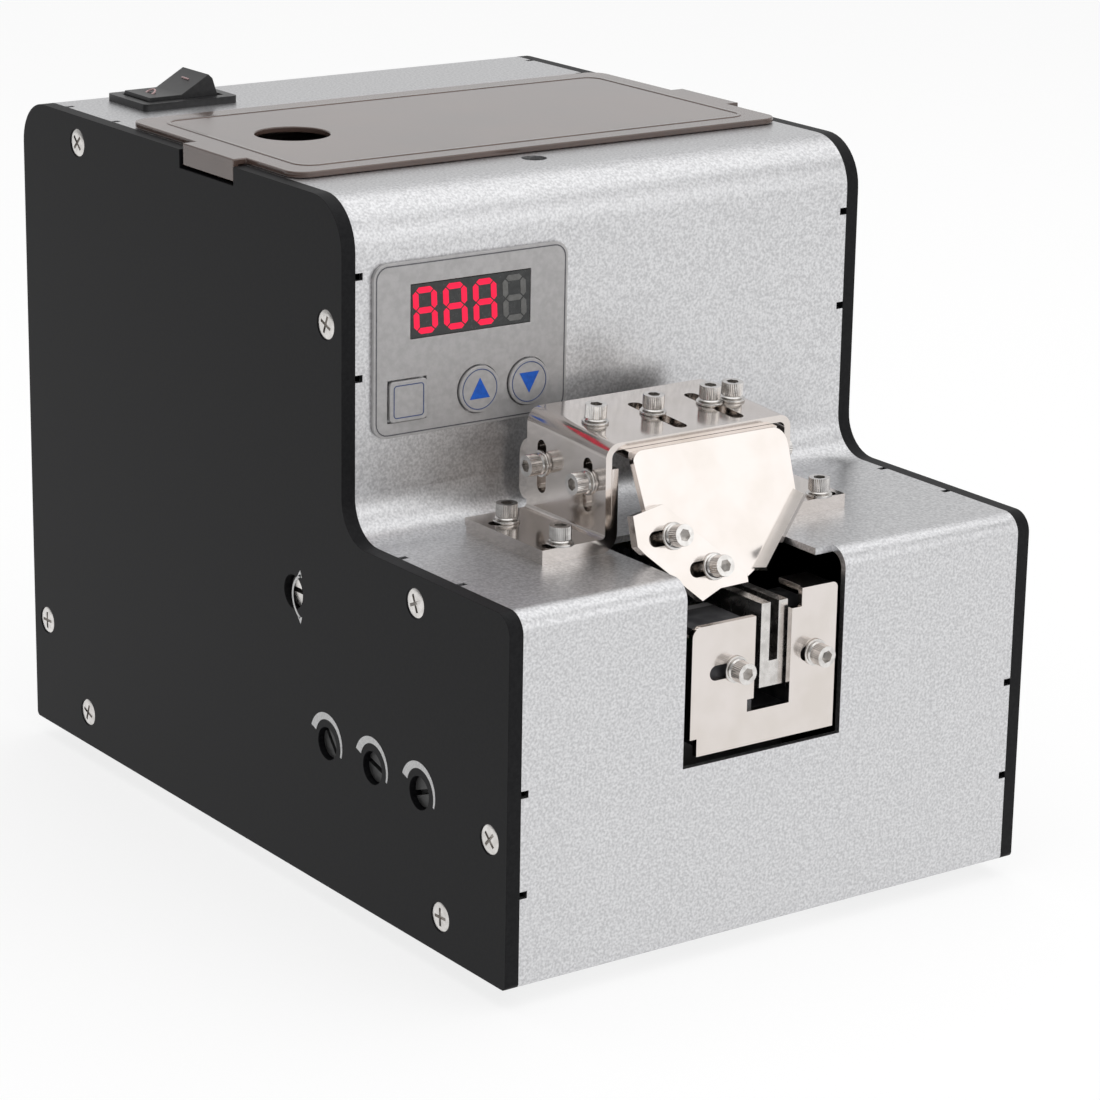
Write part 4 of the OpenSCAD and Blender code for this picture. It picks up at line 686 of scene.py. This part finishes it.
table_white = bpy.data.materials.new("table_white")
table_white.use_nodes = True
tree = table_white.node_tree
plain = tree.nodes["Principled BSDF"]
plain.inputs["Base Color"].default_value = (0.86, 0.86, 0.86, 1)
plain.inputs["Roughness"].default_value = 0.9
plain.inputs["Specular IOR Level"].default_value = 0.1
glow = tree.nodes.new("ShaderNodeEmission")
glow.inputs["Strength"].default_value = 1.1
pick = tree.nodes.new("ShaderNodeMixShader")
tree.links.new(seen_rays(tree, 0.7), pick.inputs["Fac"])
tree.links.new(plain.outputs["BSDF"], pick.inputs[1])
tree.links.new(glow.outputs["Emission"], pick.inputs[2])
tree.links.new(pick.outputs["Shader"], tree.nodes["Material Output"].inputs["Surface"])
floor.data.materials.append(table_white)

room = bpy.data.worlds.new("studio")
room.use_nodes = True
bpy.context.scene.world = room
tree = room.node_tree
sky = tree.nodes["Background"]
seen = tree.nodes.new("ShaderNodeBackground")
seen.inputs["Color"].default_value = (1, 1, 1, 1)
seen.inputs["Strength"].default_value = 1.0
ray = tree.nodes.new("ShaderNodeLightPath")
pick = tree.nodes.new("ShaderNodeMixShader")
compass = tree.nodes.new("ShaderNodeTexCoord")
split = tree.nodes.new("ShaderNodeSeparateXYZ")
shade = tree.nodes.new("ShaderNodeMapRange")
shade.inputs["From Min"].default_value = -0.95
shade.inputs["From Max"].default_value = -0.25
shade.inputs["To Min"].default_value = 0.1
shade.inputs["To Max"].default_value = 0.72
tree.links.new(compass.outputs["Generated"], split.inputs["Vector"])
tree.links.new(split.outputs["X"], shade.inputs["Value"])
tree.links.new(shade.outputs["Result"], sky.inputs["Strength"])
sky.inputs["Color"].default_value = (1, 1, 1, 1)
tree.links.new(ray.outputs["Is Camera Ray"], pick.inputs["Fac"])
tree.links.new(sky.outputs["Background"], pick.inputs[1])
tree.links.new(seen.outputs["Background"], pick.inputs[2])
tree.links.new(pick.outputs["Shader"], tree.nodes["World Output"].inputs["Surface"])


def lamp(name, place, aim, width, height, power):
    """A soft rectangular lamp that looks at a point."""
    light = bpy.data.lights.new(name, "AREA")
    light.shape = "RECTANGLE"
    light.size = width
    light.size_y = height
    light.energy = power
    holder = bpy.data.objects.new(name, light)
    bpy.context.scene.collection.objects.link(holder)
    holder.location = place
    holder.rotation_euler = (Vector(aim) - Vector(place)).to_track_quat("-Z", "Y").to_euler()


lamp("top_soft", (0.1, -0.1, 0.9), (0, 0, 0.08), 1.5, 1.2, 3.6)
lamp("front_soft", (0.35, -0.95, 0.45), (0, 0, 0.08), 0.9, 0.6, 1.2)
lamp("left_soft", (-0.95, -0.2, 0.5), (0, 0, 0.08), 0.8, 0.8, 0.5)
